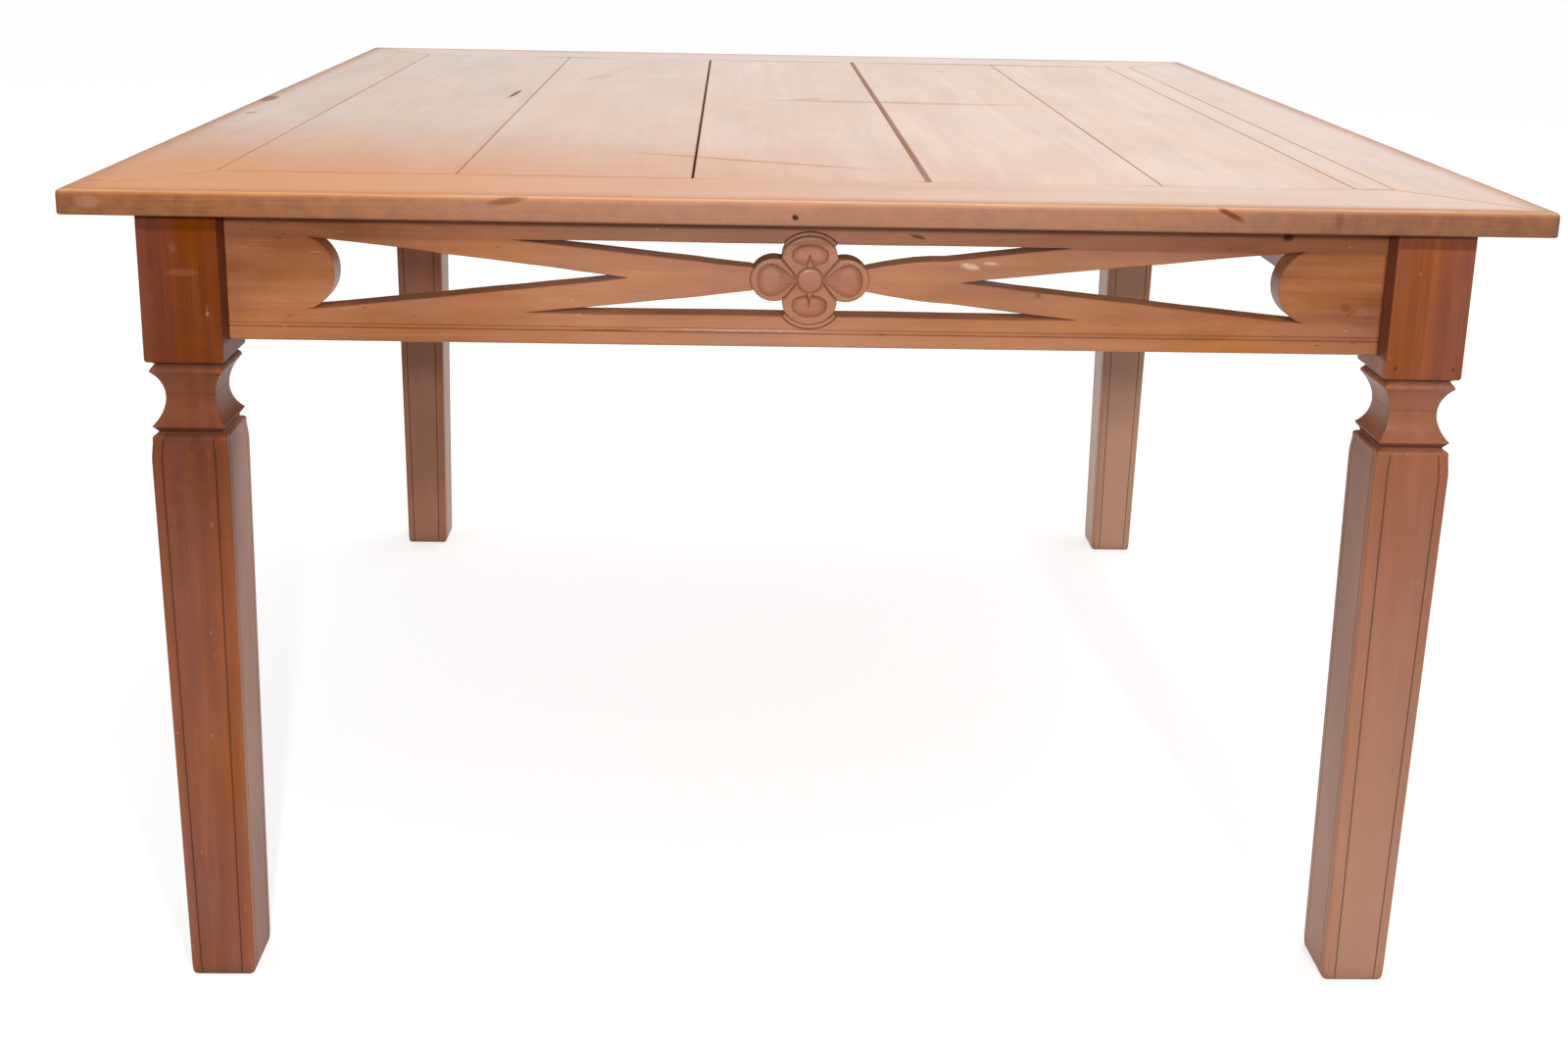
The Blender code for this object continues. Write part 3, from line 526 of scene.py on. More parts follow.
class TABLE_OT_top_border(bpy.types.Operator):
    """Four mitred border boards round the top, with rounded outer edges and a groove for the boards"""

    bl_idname = "table.top_border"
    bl_label = "Top border"

    def execute(self, context):
        marks = [
            # Paler middle, nail hole, knife marks and a stain on the front edge
            ((0.0, -HALF_LENGTH, 0.769), (0, 0, 0), (0.50, 0.02, 0.06), 0.28, "faded_and_lit"),
            ((-0.0172, -HALF_LENGTH, 0.7658), (0, 0, 0), (0.0034, 0.004, 0.0034), 0.95, "grime_and_shade"),
            ((0.350, -HALF_LENGTH, 0.775), (0, 0.48, 0), (0.018, 0.004, 0.0030), 0.85, "leg_dark"),
            ((-0.259, -HALF_LENGTH, 0.7760), (0, -0.15, 0), (0.020, 0.006, 0.0040), 0.6, "leg_dark"),
            ((0.445, -HALF_LENGTH, 0.770), (0, 0.1, 0), (0.004, 0.003, 0.011), 0.25, "grime_and_shade"),
            # Plug near the left end of the front edge
            ((-0.6065, -HALF_LENGTH, 0.770), (0, 0, 0), (0.0135, 0.004, 0.0066), 0.24, "faded_and_lit"),
            ((-0.6110, -HALF_LENGTH, 0.7690), (0, 0, 0), (0.0040, 0.004, 0.0030), 0.16, "leg_dark"),
            # Open slivers along the back border
            ((-0.318, HALF_LENGTH - END_BORDER, TOP_Z), (0, 0, 0), (0.090, 0.0030, 0.02), 0.9, "grime_and_shade"),
            ((0.316, HALF_LENGTH - END_BORDER, TOP_Z), (0, 0, 0), (0.070, 0.0034, 0.02), 0.9, "grime_and_shade"),
        ]
        end_wood = varnished_wood("top_end_border_hardwood", ACROSS, marks, **TOP_FINISH)
        side_wood = varnished_wood("top_board_hardwood", ALONG, TOP_MARKS, **TOP_FINISH)
        end_size = (END_BORDER, SIDE_BORDER, HALF_WIDTH)
        side_size = (SIDE_BORDER, END_BORDER, HALF_LENGTH)
        end_y, side_x = HALF_LENGTH - END_BORDER, HALF_WIDTH - SIDE_BORDER
        # Wood, tone, sizes, directions along and outward, and middle of the inner edge of each board
        sides = [
            ("front", end_wood, 0.42, end_size, (1, 0), (0, -1), (0, -end_y)),
            ("back", end_wood, 0.61, end_size, (-1, 0), (0, 1), (0, end_y)),
            ("left", side_wood, 0.22, side_size, (0, -1), (-1, 0), (-side_x, 0)),
            ("right", side_wood, 0.37, side_size, (0, 1), (1, 0), (side_x, 0)),
        ]
        for name, wood, tone, size, along, out, inner in sides:
            rows = [(along[i], out[i], 0, inner[i]) for i in (0, 1)]
            place = Matrix((*rows, (0, 0, 1, MIDDLE_Z), (0, 0, 0, 1)))
            loops, layers = border_loops(*size, place)
            border = loft("border_" + name, loops, **layers)
            settle(border, wood, tone, ["top_border_" + name])
        return {"FINISHED"}


def board_loops(low, high, left_tongue, shoulder, hollow, worn, dirt_low, dirt_high):
    """Loops of a board of the top from end to end, and the grime and browning on their points."""
    sizes = bpy.context.scene.table_sizes
    a, h, t, reach = sizes.arris, HALF_THICK, sizes.tongue / 2, sizes.tongue_reach
    side, deep = (t, low - reach) if left_tongue else (t + PLAY, low + reach)
    # Each point of the section has its place across and in height, and its grime
    section = [(low, -h, 0.5), (high, -h, 0.5), (high, -t, 0.8), (high + reach, -t, 0.8)]
    section += [(high + reach, t, dirt_high), (high, t, dirt_high)]
    section += [(high, h - a, dirt_high * 0.5), (high - a, h, 0.12), (high - JOINT_LINE, h, 0.0)]
    across = (0.03, 0.1, 0.25, 0.5, 0.75, 0.9, 0.97)
    section += [(high + (low - high) * k, h - hollow * (1 - (2 * k - 1) ** 2), 0.0) for k in across]
    section += [(low + worn + 0.0012, h, 0.0), (low + worn, h, 0.12 if worn == a else 0.04)]
    section += [(low, h - worn * 0.7, dirt_low * 0.5)]
    aged = {low + worn, low} if worn > a else set()
    section += [(low, side, dirt_low), (deep, side, dirt_low), (deep, -side, 1.0), (low, -side, 1.0)]
    end = shoulder + reach
    # Each step has its place along the board, whether it is on a tongue, its drop and its grime
    steps = [(-end, True, 0.0, 1.0), (-shoulder, True, 0.0, 1.0), (-shoulder, False, a, 0.6)]
    steps += [(-shoulder + a, False, 0.0, 0.15), (-shoulder + JOINT_LINE, False, 0.0, 0.0)]
    starts = list(steps)
    steps += [(shoulder * k / 4, False, 0.0, 0.0) for k in range(-3, 4)]
    steps += [(-y, thin, drop, dirt_and_shade) for y, thin, drop, dirt_and_shade in reversed(starts)]
    loops, seam, brown = [], [], []
    for y, thin, drop, dirt_and_shade in steps:
        loop = []
        for x, z, grime_and_shade in section:
            brown.append(0.20 if x in aged else 0.0)
            if thin:
                z = max(-t, min(t, z))
            elif z > h - UPPER_SKIN:
                z -= drop
            loop.append((x, y, MIDDLE_Z + z))
            seam.append(max(grime_and_shade, dirt_and_shade))
        loops.append(loop)
    return loops, {"seam": seam, "brown": brown}


class TABLE_OT_top_boards(bpy.types.Operator):
    """Five tongued boards and a narrow strip inside the border, with open and tight joints"""

    bl_idname = "table.top_boards"
    bl_label = "Top boards"

    def execute(self, context):
        sizes = context.scene.table_sizes
        wood = varnished_wood("top_board_hardwood", ALONG, TOP_MARKS, **TOP_FINISH)
        shoulder = HALF_LENGTH - END_BORDER - END_GAP
        tones = {
            "top_board_1": 0.30,
            "top_board_2": 0.47,
            "top_board_3": 0.58,
            "top_board_4": 0.66,
            "top_board_5": 0.53,
            "top_board_strip": 0.49,
        }
        # Grime in the left and right joints of the boards that have shrunk most
        dirt_and_shade = {"top_board_2": (0.5, 0.8), "top_board_3": (0.8, 0.3), "top_board_4": (0.3, 0.5)}
        # How far these boards reach past their solids on the left, which narrows their joints
        closer = {"top_board_3": 0.0004, "top_board_4": 0.0010}
        for name, tone in tones.items():
            low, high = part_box(name)
            first = name == "top_board_1"
            left = low[0] + (sizes.tongue_reach if first else 0.0) - closer.get(name, 0.0)
            right = high[0] - sizes.tongue_reach
            worn = sizes.worn_arris if name == "top_board_4" else sizes.arris
            # The paler boards are hollow and the others a little crowned
            hollow = sizes.hollow if tone > 0.5 else -sizes.hollow / 2
            joints = dirt_and_shade.get(name, (0.5, 0.5))
            loops, layers = board_loops(left, right, first, shoulder, hollow, worn, *joints)
            board = loft(name.replace("top_", ""), loops, **layers)
            settle(board, wood, tone, [name])
        return {"FINISHED"}


def leg_levels():
    """Levels of the leg from the floor up: height, half width, arris, line depth, grime and painted shade,
    and wear and painted highlight.
    """
    sizes = bpy.context.scene.table_sizes
    block_z = UNDER_Z - sizes.block_height
    neck_z = block_z - sizes.neck_height
    foot, swell, shoulder = sizes.foot / 2, sizes.swell / 2, sizes.shoulder / 2
    lip, groove, waist = sizes.neck_lip / 2, sizes.neck_groove / 2, sizes.neck_waist / 2
    block, deep = LEG_HALF, sizes.line_depth
    levels = [
        (0.0, foot - 0.0016, 0.0040, 0.0, 0.35, 0.5),
        (0.0012, foot - 0.0008, 0.0036, deep * 0.4, 0.2, 0.8),
        (0.0040, foot - 0.0003, 0.0034, deep * 0.8, 0.1, 0.8),
        (0.0090, foot, 0.0032, deep, 0.05, 0.7),
    ]
    top = neck_z - 0.024
    for k in (0.03, 0.1, 0.25, 0.45, 0.65, 0.85, 1.0):
        levels.append((top * k, foot + (swell - foot) * k, 0.0032, deep, 0.0, 0.6 if k < 0.2 else 0.3))
    levels += [
        (neck_z - 0.0185, swell - 0.0003, 0.0030, deep, 0.0, 0.3),
        (neck_z - 0.013, swell - 0.0009, 0.0026, deep, 0.0, 0.3),
        (neck_z - 0.008, swell - 0.0015, 0.0022, deep * 0.8, 0.0, 0.4),
        (neck_z - 0.0050, shoulder - 0.0001, 0.0020, deep * 0.6, 0.0, 0.6),
    ]
    rounding = arc((shoulder - 0.0034, neck_z - 0.0042), 0.0034, 0.3, 1.2, 4)
    levels += [(z, w, 0.0016, deep * 0.3, 0.0, 0.9) for w, z in rounding]
    # The lips of the neck are painted pale: painted highlights
    levels += [
        (neck_z - 0.0002, shoulder - 0.0048, 0.0012, 0.0, 0.15, 0.4),
        (neck_z + 0.0020, groove, 0.0008, 0.0, 0.75, 0.0),
        (neck_z + 0.0064, lip - 0.0006, 0.0007, 0.0, 0.4, 0.0),
        (neck_z + 0.0070, lip, 0.0007, 0.0, 0.0, 1.0),
    ]
    low, high = neck_z + 0.0078, block_z - 0.0092
    radius, swing = sagged((high - low) / 2, lip - waist)
    hollow = arc((waist + radius, (low + high) / 2), radius, pi + swing, pi - swing, 24)
    for i, (w, z) in enumerate(hollow):
        levels.append((z, w, 0.0009, 0.0, 0.22 if i == 13 else 0.03, 0.5 if i in (0, 24) else 0.1))
    # The lips under the block are painted pale: painted highlights
    levels += [
        (block_z - 0.0085, lip, 0.0007, 0.0, 0.0, 1.0),
        (block_z - 0.0068, lip - 0.0004, 0.0007, 0.0, 0.0, 1.0),
        (block_z - 0.0024, groove, 0.0008, 0.0, 0.60, 0.0),
        (block_z - 0.0004, block - 0.0040, 0.0012, 0.0, 0.5, 0.0),
    ]
    rounding = arc((block - 0.0026, block_z + 0.0026), 0.0026, -pi / 2, 0.0, 5)[1:]
    levels += [(z, w, 0.0020, 0.0, 0.05, 0.5) for w, z in rounding]
    rises = (0.006, 0.0155, 0.018, 0.045, 0.095)
    levels += [(block_z + rise, block, 0.0019, 0.0, 0.0, 0.3) for rise in rises]
    # Painted shadow of the top: a dark strip 3 mm high where the leg meets the underside of the boards
    tops = ((0.0044, 0.0), (0.0030, 0.5), (0.0, 0.5))
    levels += [(SEAT_Z - drop, block, 0.0019, 0.0, dirt_and_shade, 0.0) for drop, dirt_and_shade in tops]
    return levels


def leg_loops(outer):
    """Loops of the leg about its own axis, and the grime, painted shade, wear and painted highlight on their
    points.
    """
    sizes = bpy.context.scene.table_sizes
    near, far = sizes.line_inset, sizes.line_inset_inner
    # Insets of the two lines on the faces toward +Y, -X, -Y and +X, from each face's left
    insets = [(near, far), (near, near), (far, near), (near, near)]
    if outer < 0:
        insets = [(far, near), (near, near), (near, far), (near, near)]
    loops, seam, wear = [], [], []
    for z, half, arris, deep, dirt_and_shade, rub_and_highlight in leg_levels():
        loop = []
        for quarter, (first, second) in enumerate(insets):
            turn = Matrix.Rotation(quarter * pi / 2, 2)
            side = [(x, y, dirt_and_shade, rub_and_highlight) for x, y in arc((half - arris, half - arris), arris, 0.0, pi / 2, 4)]
            for centre in (half - first, second - half):
                dark = max(dirt_and_shade, 0.55 if deep > 0.0004 else 0.0)
                side += [(centre + 0.0009, half, dirt_and_shade, 0.0), (centre, half - deep, dark, 0.0)]
                side += [(centre - 0.0009, half, dirt_and_shade, 0.0)]
            for x, y, grime_and_shade, rubbed_and_highlight in side:
                point = turn @ Vector((x, y))
                loop.append((point.x, point.y, z))
                seam.append(grime_and_shade)
                wear.append(rubbed_and_highlight)
        loops.append(loop)
    return loops, {"seam": seam, "wear": wear}


class TABLE_OT_legs(bpy.types.Operator):
    """Four square legs with a block, a hollowed neck and lines cut along the tapering lower part"""

    bl_idname = "table.legs"
    bl_label = "Legs"

    def execute(self, context):
        sizes = context.scene.table_sizes
        block_z = UNDER_Z - sizes.block_height
        neck_z = block_z - sizes.neck_height
        face = -LEG_Y - LEG_HALF
        # Two small holes at the foot of the front right block, and pale smears on the front left one
        marks = [
            ((LEG_X - 0.026, face, block_z + 0.011), (0, 0, 0), (0.0024, 0.004, 0.0024), 0.55, "grime_and_shade"),
            ((LEG_X + 0.026, face, block_z + 0.011), (0, 0, 0), (0.0024, 0.004, 0.0024), 0.55, "grime_and_shade"),
            ((0.0035 - LEG_X, face, 0.6990), (0, 0, 0), (0.0180, 0.004, 0.0040), 0.10, "faded_and_lit"),
            ((-0.0035 - LEG_X, face, 0.7215), (0, 0, 0), (0.0040, 0.004, 0.0050), 0.10, "faded_and_lit"),
            ((0.0238 - LEG_X, face, 0.6626), (0, 0, 0), (0.0020, 0.004, 0.0024), 0.30, "faded_and_lit"),
        ]
        wood = varnished_wood("leg_hardwood", UPRIGHT, marks, **LEG_FINISH)
        models = {}
        for side in (-1, 1):
            loops, layers = leg_loops(side)
            models[side] = loft("leg_model", loops, **layers)
        for name, x, y, tone, (block, neck, foot), streaked in LEGS:
            leg = copy_of(models[x], "turned_leg_" + name)
            bpy.ops.transform.translate(value=(x * LEG_X, y * LEG_Y, 0.0))
            seam, fade, streaky, brown = [], [], [], []
            for vert, dirt_and_shade in zip(leg.data.vertices, leg.data.attributes["seam"].data):
                right, back, z = vert.co
                below = neck_z - z
                # The aprons shade the faces that they meet
                shaded = min(right * x, back * y) < 0.0005 - LEG_HALF and z > block_z + 0.017
                seam.append(max(dirt_and_shade.value, 0.45) if shaded else dirt_and_shade.value)
                streaky.append(streaked if z > block_z else 0.0)
                # The lower leg is painted paler toward the foot over 400 mm, as painted light from the
                # floor, and the stain of its front face fades over 220 mm
                pale = block if z > block_z else neck
                if below >= 0.0:
                    pale = neck + (foot - neck) * min(1.0, below / 0.40)
                # Painted light: the face of the front left leg that the light reaches from the right is
                # painted paler
                lit = right > 0.028 and back > -0.028 and below > 0.0
                fade.append(pale + 0.18 if lit and name == "front_left" else pale)
                stain = max(0.0, 1.0 - below / 0.22) if back < -0.02 else 0.0
                brown.append(0.54 if below < 0.0 else 0.80 * stain)
            paint(leg, "seam", seam)
            paint(leg, "fade", fade)
            paint(leg, "streaky", streaky)
            if name == "front_left":
                # This leg has a darker block and neck, and a darker face for a hand's length below them
                paint(leg, "brown", brown)
            settle(leg, wood, tone, ["leg_" + name], 28)
        for model in models.values():
            bpy.data.meshes.remove(model.data)
        return {"FINISHED"}


def grow(outline, by):
    """Outline moved outward, with its sharp tips held back."""
    area = sum(x0 * y1 - x1 * y0 for (x0, y0), (x1, y1) in zip(outline, outline[1:] + outline[:1]))
    grown = []
    for i, (x, y) in enumerate(outline):
        before = (Vector((x, y)) - Vector(outline[i - 1])).normalized()
        after = (Vector(outline[(i + 1) % len(outline)]) - Vector((x, y))).normalized()
        normals = [Vector((d.y, -d.x)) * (1 if area > 0 else -1) for d in (before, after)]
        middle = (normals[0] + normals[1]).normalized()
        reach = by / max(0.45, middle.dot(normals[0]))
        grown.append((x + middle.x * reach, y + middle.y * reach))
    return grown


def wander(x, y, amount):
    """Small wander of a hand-cut edge."""
    return amount * noise.noise(Vector((x * 28.0, y * 28.0, 4.7)))


def side_gap(half_length, fork, up, down):
    """Outline of the long opening from the fork of the straps to the lobe by the leg."""
    chord, bulge = half_length - 0.072, 0.0235
    radius, swing = sagged((up + down) / 2, bulge)
    points = [(fork + (chord - 0.001 - fork) * k / 12, up * (k / 12) ** 0.96) for k in range(13)]
    points += arc((chord - bulge + radius, (up - down) / 2), radius, pi - swing, pi + swing, 26)[1:-1]
    points += [(fork + (chord + 0.002 - fork) * k / 12, -down * (k / 12) ** 0.96) for k in range(12, 0, -1)]
    return [(x, z + wander(x, z, 0.0006)) for x, z in points]


def thin_gap(tip, height, bend):
    """Outline of the thin opening between a rail and a strap, from under the flower to its tip."""
    neck = bpy.context.scene.table_sizes.strap_neck / 2
    start = PETALS[0][1]
    points = [(tip * k, height) for k in (1.0, 0.75, 0.5, 0.28)]
    points += [(0.010, height), (0.010, neck - 0.001), (0.050, neck - 0.001)]
    for k in range(13):
        x = start + (tip - start) * k / 13
        points.append((x, neck + (height - neck) * k / 13 + bend * sin(min(1.0, k / 5.0) * pi)))
    return [(x, z + (wander(x, z, 0.0005) if x < tip * 0.98 else 0.0)) for x, z in points]


def petal_reach(angle):
    """Distance from the middle of the flower to its outline."""
    best = 0.0
    for turn, reach, long, wide in PETALS:
        u, v = cos(angle - turn), sin(angle - turn)
        centre = reach - long
        a = (u / long) ** 2 + (v / wide) ** 2
        b = -2 * u * centre / long**2
        c = (centre / long) ** 2 - 1
        inside = b * b - 4 * a * c
        if inside > 0:
            best = max(best, (-b + sqrt(inside)) / (2 * a))
    return best


def petal_depth(x, z):
    """Depth of the carving below the rims at a point of the flower, and its grime and painted shade."""
    sizes = bpy.context.scene.table_sizes
    radius = hypot(x, z)
    if radius < sizes.boss:
        return 0.0003 + 0.0009 * (radius / sizes.boss) ** 6, 0.0
    found = []
    for number, (turn, reach, long, wide) in enumerate(PETALS):
        u = x * cos(turn) + z * sin(turn)
        v = z * cos(turn) - x * sin(turn)
        found.append((hypot((u - reach + long) / long, v / wide), number, u, v))
    found.sort()
    rim, number, u, v = found[0]
    reach, long, wide = PETALS[number][1:]
    # Spoon-shaped hollow that comes to a point at the boss
    tip = sizes.boss + 0.0020
    upright = number in (UPPER_PETAL, LOWER_PETAL)
    far = reach - sizes.petal_rim - (0.0010 if upright else 0.0)
    middle = tip + (far - tip) * (0.56 if upright else 0.64)
    half = wide - sizes.petal_rim + (-0.0030 if upright else 0.0013)
    depth, grime_and_shade = 0.0, 0.0
    if tip < u < far:
        k = (u - middle) / (far - middle) if u > middle else (middle - u) / (middle - tip)
        breadth = half * (sqrt(1.0 - k * k) if u > middle else 1.0 - k ** (4.0 if upright else 1.6))
        fall = (1.0 - k * k) ** 0.55 if u > middle else 1.0 - k ** (2.6 if upright else 1.5)
        if abs(v) < breadth:
            depth = sizes.dish * fall * (1.0 - (v / breadth) ** 2) ** 0.5
            # The hollow is darkened over its floor and most toward its rim: painted shade
            rimmed = max((abs(v) / breadth) ** 4, k**4 if u > middle else 0.0)
            grime_and_shade = max(0.08 * fall, 0.20 * rimmed)
    # Fine cuts that fan out from the boss in the side petals
    stop = middle + 0.004
    if not upright and tip < u < stop:
        for slope in (-0.30, -0.04, 0.24):
            if abs(v - slope * (u - sizes.boss * 0.4)) < 0.0006:
                grime_and_shade = max(grime_and_shade, 0.34 * (1.0 - (u - tip) / (stop - tip)))
    # Bud that stands in the upper and lower petals
    if upright:
        long_bud, wide_bud = (0.0125, 0.0034) if number == UPPER_PETAL else (0.0155, 0.0023)
        k = (u - sizes.boss) / long_bud
        if 0.0 < k < 1.0:
            edge = wide_bud * (1.0 - k) ** 0.7
            if abs(v) < edge:
                depth = max(0.0008, depth - 0.0050 * (1.0 - (v / edge) ** 2))
            if abs(abs(v) - edge) < 0.0009:
                grime_and_shade = 0.32
    # Rounded outer edge of the rim
    edge, rounding = (1.0 - rim) * min(long, wide), 0.0018
    if edge < rounding:
        depth = max(depth, 0.0012 * (1.0 - max(0.0, edge) / rounding) ** 2)
    # Vee between neighbouring petals
    valley, vee = (found[1][0] - rim) * 0.020, 0.0020
    if valley < vee:
        k = 1.0 - valley / vee
        depth = max(depth, 0.0036 * k)
        grime_and_shade = max(grime_and_shade, 0.45 * k**3)
    # Line round the boss
    ring, bank = radius - sizes.boss, 0.0024
    if ring < bank:
        k = max(0.0, 1.0 - abs(ring - 0.0008) / 0.0010)
        depth = max(depth * ring / bank, 0.0011 + 0.0014 * k)
        grime_and_shade = max(grime_and_shade, 0.40 * k)
    return depth, grime_and_shade


def flower_model():
    """Carved flower in the middle of an apron, shaped from a ball that is pressed flat."""
    deselect()
    rings, boss_ring, edge_ring = 76, 22, 70
    back_ring = edge_ring + 2
    bpy.ops.mesh.primitive_uv_sphere_add(segments=192, ring_count=rings, radius=1.0)
    flower = bpy.context.object
    flower.name = "flower_model"
    inner = bpy.context.scene.table_sizes.boss + 0.0025
    seam = []
    for vert in flower.data.vertices:
        ring = round(acos(max(-1.0, min(1.0, vert.co.z))) / pi * rings)
        angle = atan2(vert.co.y, vert.co.x)
        edge = petal_reach(angle)
        if ring <= boss_ring:
            radius = inner * ring / boss_ring
        elif ring <= edge_ring:
            radius = inner + (edge - inner) * (ring - boss_ring) / (edge_ring - boss_ring)
        elif ring <= back_ring:
            radius = edge
        else:
            radius = edge * (rings - ring) / (rings - back_ring)
        x, z = radius * cos(angle), radius * sin(angle)
        if ring <= edge_ring:
            depth, grime_and_shade = petal_depth(x, z)
            y = depth - APRON_HALF
        else:
            y = APRON_HALF - 0.0004 if ring >= back_ring else 0.0045 - APRON_HALF
            grime_and_shade = 0.45
        seam.append(grime_and_shade)
        vert.co = (x, y, z)
    paint(flower, "seam", seam)
    choose(flower)
    bpy.ops.object.mode_set(mode="EDIT")
    bpy.ops.mesh.select_all(action="SELECT")
    bpy.ops.mesh.normals_make_consistent(inside=False)
    bpy.ops.object.mode_set(mode="OBJECT")
    return flower


def gouge_loops():
    """Loops of the cutter that sinks the rails and straps round the flower."""
    loops = []
    for depth, more in ((-0.002, 1.15), (0.0, 1.0), (0.0030, 0.85), (0.0070, 0.5)):
        loop = []
        for i in range(120):
            angle = i * 2 * pi / 120
            upright = max(0.0, abs(sin(angle)) - 0.45) / 0.55
            reach = petal_reach(angle) + 0.0004 + 0.0048 * min(1.0, upright * 1.8) * more
            loop.append((reach * cos(angle), depth - APRON_HALF, reach * sin(angle)))
        loops.append(loop)
    return loops


def bead_loops(petal, rail):
    """Loops of the raised bead that follows the upper or lower petal across a rail."""
    reach, long, wide = PETALS[petal][1:]
    sign = 1 if petal == UPPER_PETAL else -1
    # The bead is 3.6 mm thick and runs 2.3 mm outside the petal
    away, radius = 0.0023, 0.0018
    start = asin((rail - 0.0012 - reach + long) / (long + away))
    loops = []
    for i in range(33):
        angle = start + (pi - 2 * start) * i / 32
        along, across = sin(angle), cos(angle)
        height = (reach - long + (long + away) * along) * sign
        centre = Vector(((wide + away) * across, 0.0021 - APRON_HALF, height))
        out = Vector((across / wide, 0.0, along / long * sign)).normalized() * radius
        turns = [k * pi / 6 for k in range(12)]
        loops.append([centre + out * cos(turn) + Vector((0, radius * sin(turn), 0)) for turn in turns])
    return loops


def apron_loops(half_length):
    """Loops of the plain apron board from leg to leg, with two lines cut along its face."""
    h, low, high = APRON_HALF, BOTTOM_Z - FLOWER_Z, SEAT_Z - FLOWER_Z
    section = [(h, high), (h, low + 0.0012), (h - 0.0012, low)]
    section += arc((0.0035 - h, low + 0.0035), 0.0035, -pi / 2, -pi, 5)
    # Two cut lines, by their height above the lower edge and their depth
    for line, deep in ((low + 0.0132, 0.0012), (low + 0.0166, 0.0007)):
        section += [(-h, line - 0.0008), (deep - h, line), (-h, line + 0.0008)]
    # Points close under the upper edge bound the painted shadow of the top
    section += [(-h, high - 0.0044), (-h, high - 0.0032), (-h, high)]
    return [[(x, y, z) for y, z in section] for x in (-half_length, half_length)]


def soil_apron(apron, half_length):
    """Grime in the openings and in the cut lines, painted shadow of the top along the upper edge of the
    face, and wear along the lower edge.
    """
    walls = [True] * len(apron.data.vertices)
    for face in apron.data.polygons:
        if abs(face.normal.y) > 0.8:
            for index in face.vertices:
                walls[index] = False
    seam, wear = [], []
    for vert in apron.data.vertices:
        x, y, z = vert.co
        behind = y + APRON_HALF
        grime_and_shade = 0.0
        if walls[vert.index] and abs(z) < 0.036 and abs(x) < half_length - 0.01:
            grime_and_shade = 0.06
        # Painted shadow of the top: a dark strip 3.6 mm high along the upper edge of the face
        elif behind < 0.0004 and z > SEAT_Z - FLOWER_Z - 0.0036:
            grime_and_shade = 0.55
        elif 0.0004 < behind < 0.0016 and -0.052 < z < -0.040:
            grime_and_shade = 0.32
        seam.append(grime_and_shade)
        wear.append(0.45 if z < BOTTOM_Z - FLOWER_Z + 0.0126 else 0.0)
    paint(apron, "seam", seam)
    paint(apron, "wear", wear)


def apron_model(half_length, left, right):
    """Pierced apron board with its flower, facing the front about the middle of the flower."""
    sizes = bpy.context.scene.table_sizes
    up = SEAT_Z - FLOWER_Z - sizes.top_rail
    down = FLOWER_Z - BOTTOM_Z - sizes.bottom_rail
    apron = loft("apron_model", apron_loops(half_length - PLAY))
    gaps = []
    for side, (fork, upper, lower, bend) in ((-1, left), (1, right)):
        gaps.append([(side * x, z) for x, z in side_gap(half_length, fork, up, down)])
        gaps.append([(side * x, z) for x, z in thin_gap(upper, up, bend)])
        gaps.append([(side * x, -z) for x, z in thin_gap(lower, down, bend / 2)])
    h = APRON_HALF
    # The edges of the openings are bevelled on both faces
    steps = ((-h - 0.001, 0.0019), (0.0008 - h, 0.0), (h - 0.0008, 0.0), (h + 0.001, 0.0019))
    for gap in gaps:
        cut(apron, loft("gap", [[(x, y, z) for x, z in grow(gap, by)] for y, by in steps]))
    cut(apron, loft("gouge", gouge_loops()))
    # The straps sink toward the flower
    start, reach, deep = 0.046, 0.066, 0.0042
    scoop = [(start, -h - 0.002), (start + reach, -h - 0.002)]
    for k in range(14, -1, -1):
        scoop.append((start + reach * k / 14, deep * (1 - k / 14) ** 1.7 - h - 0.0001 * k / 14))
    for side in (-1, 1):
        cut(apron, loft("scoop", [[(side * x, y, z) for x, y in scoop] for z in (-0.030, 0.030)]))
    soil_apron(apron, half_length)
    flower = flower_model()
    beads = [loft("bead", bead_loops(UPPER_PETAL, up)), loft("bead", bead_loops(LOWER_PETAL, down))]
    for bead in beads:
        paint(bead, "seam", [0.08] * len(bead.data.vertices))
    choose(apron)
    for piece in (flower, *beads):
        piece.select_set(True)
    bpy.ops.object.join()
    return apron


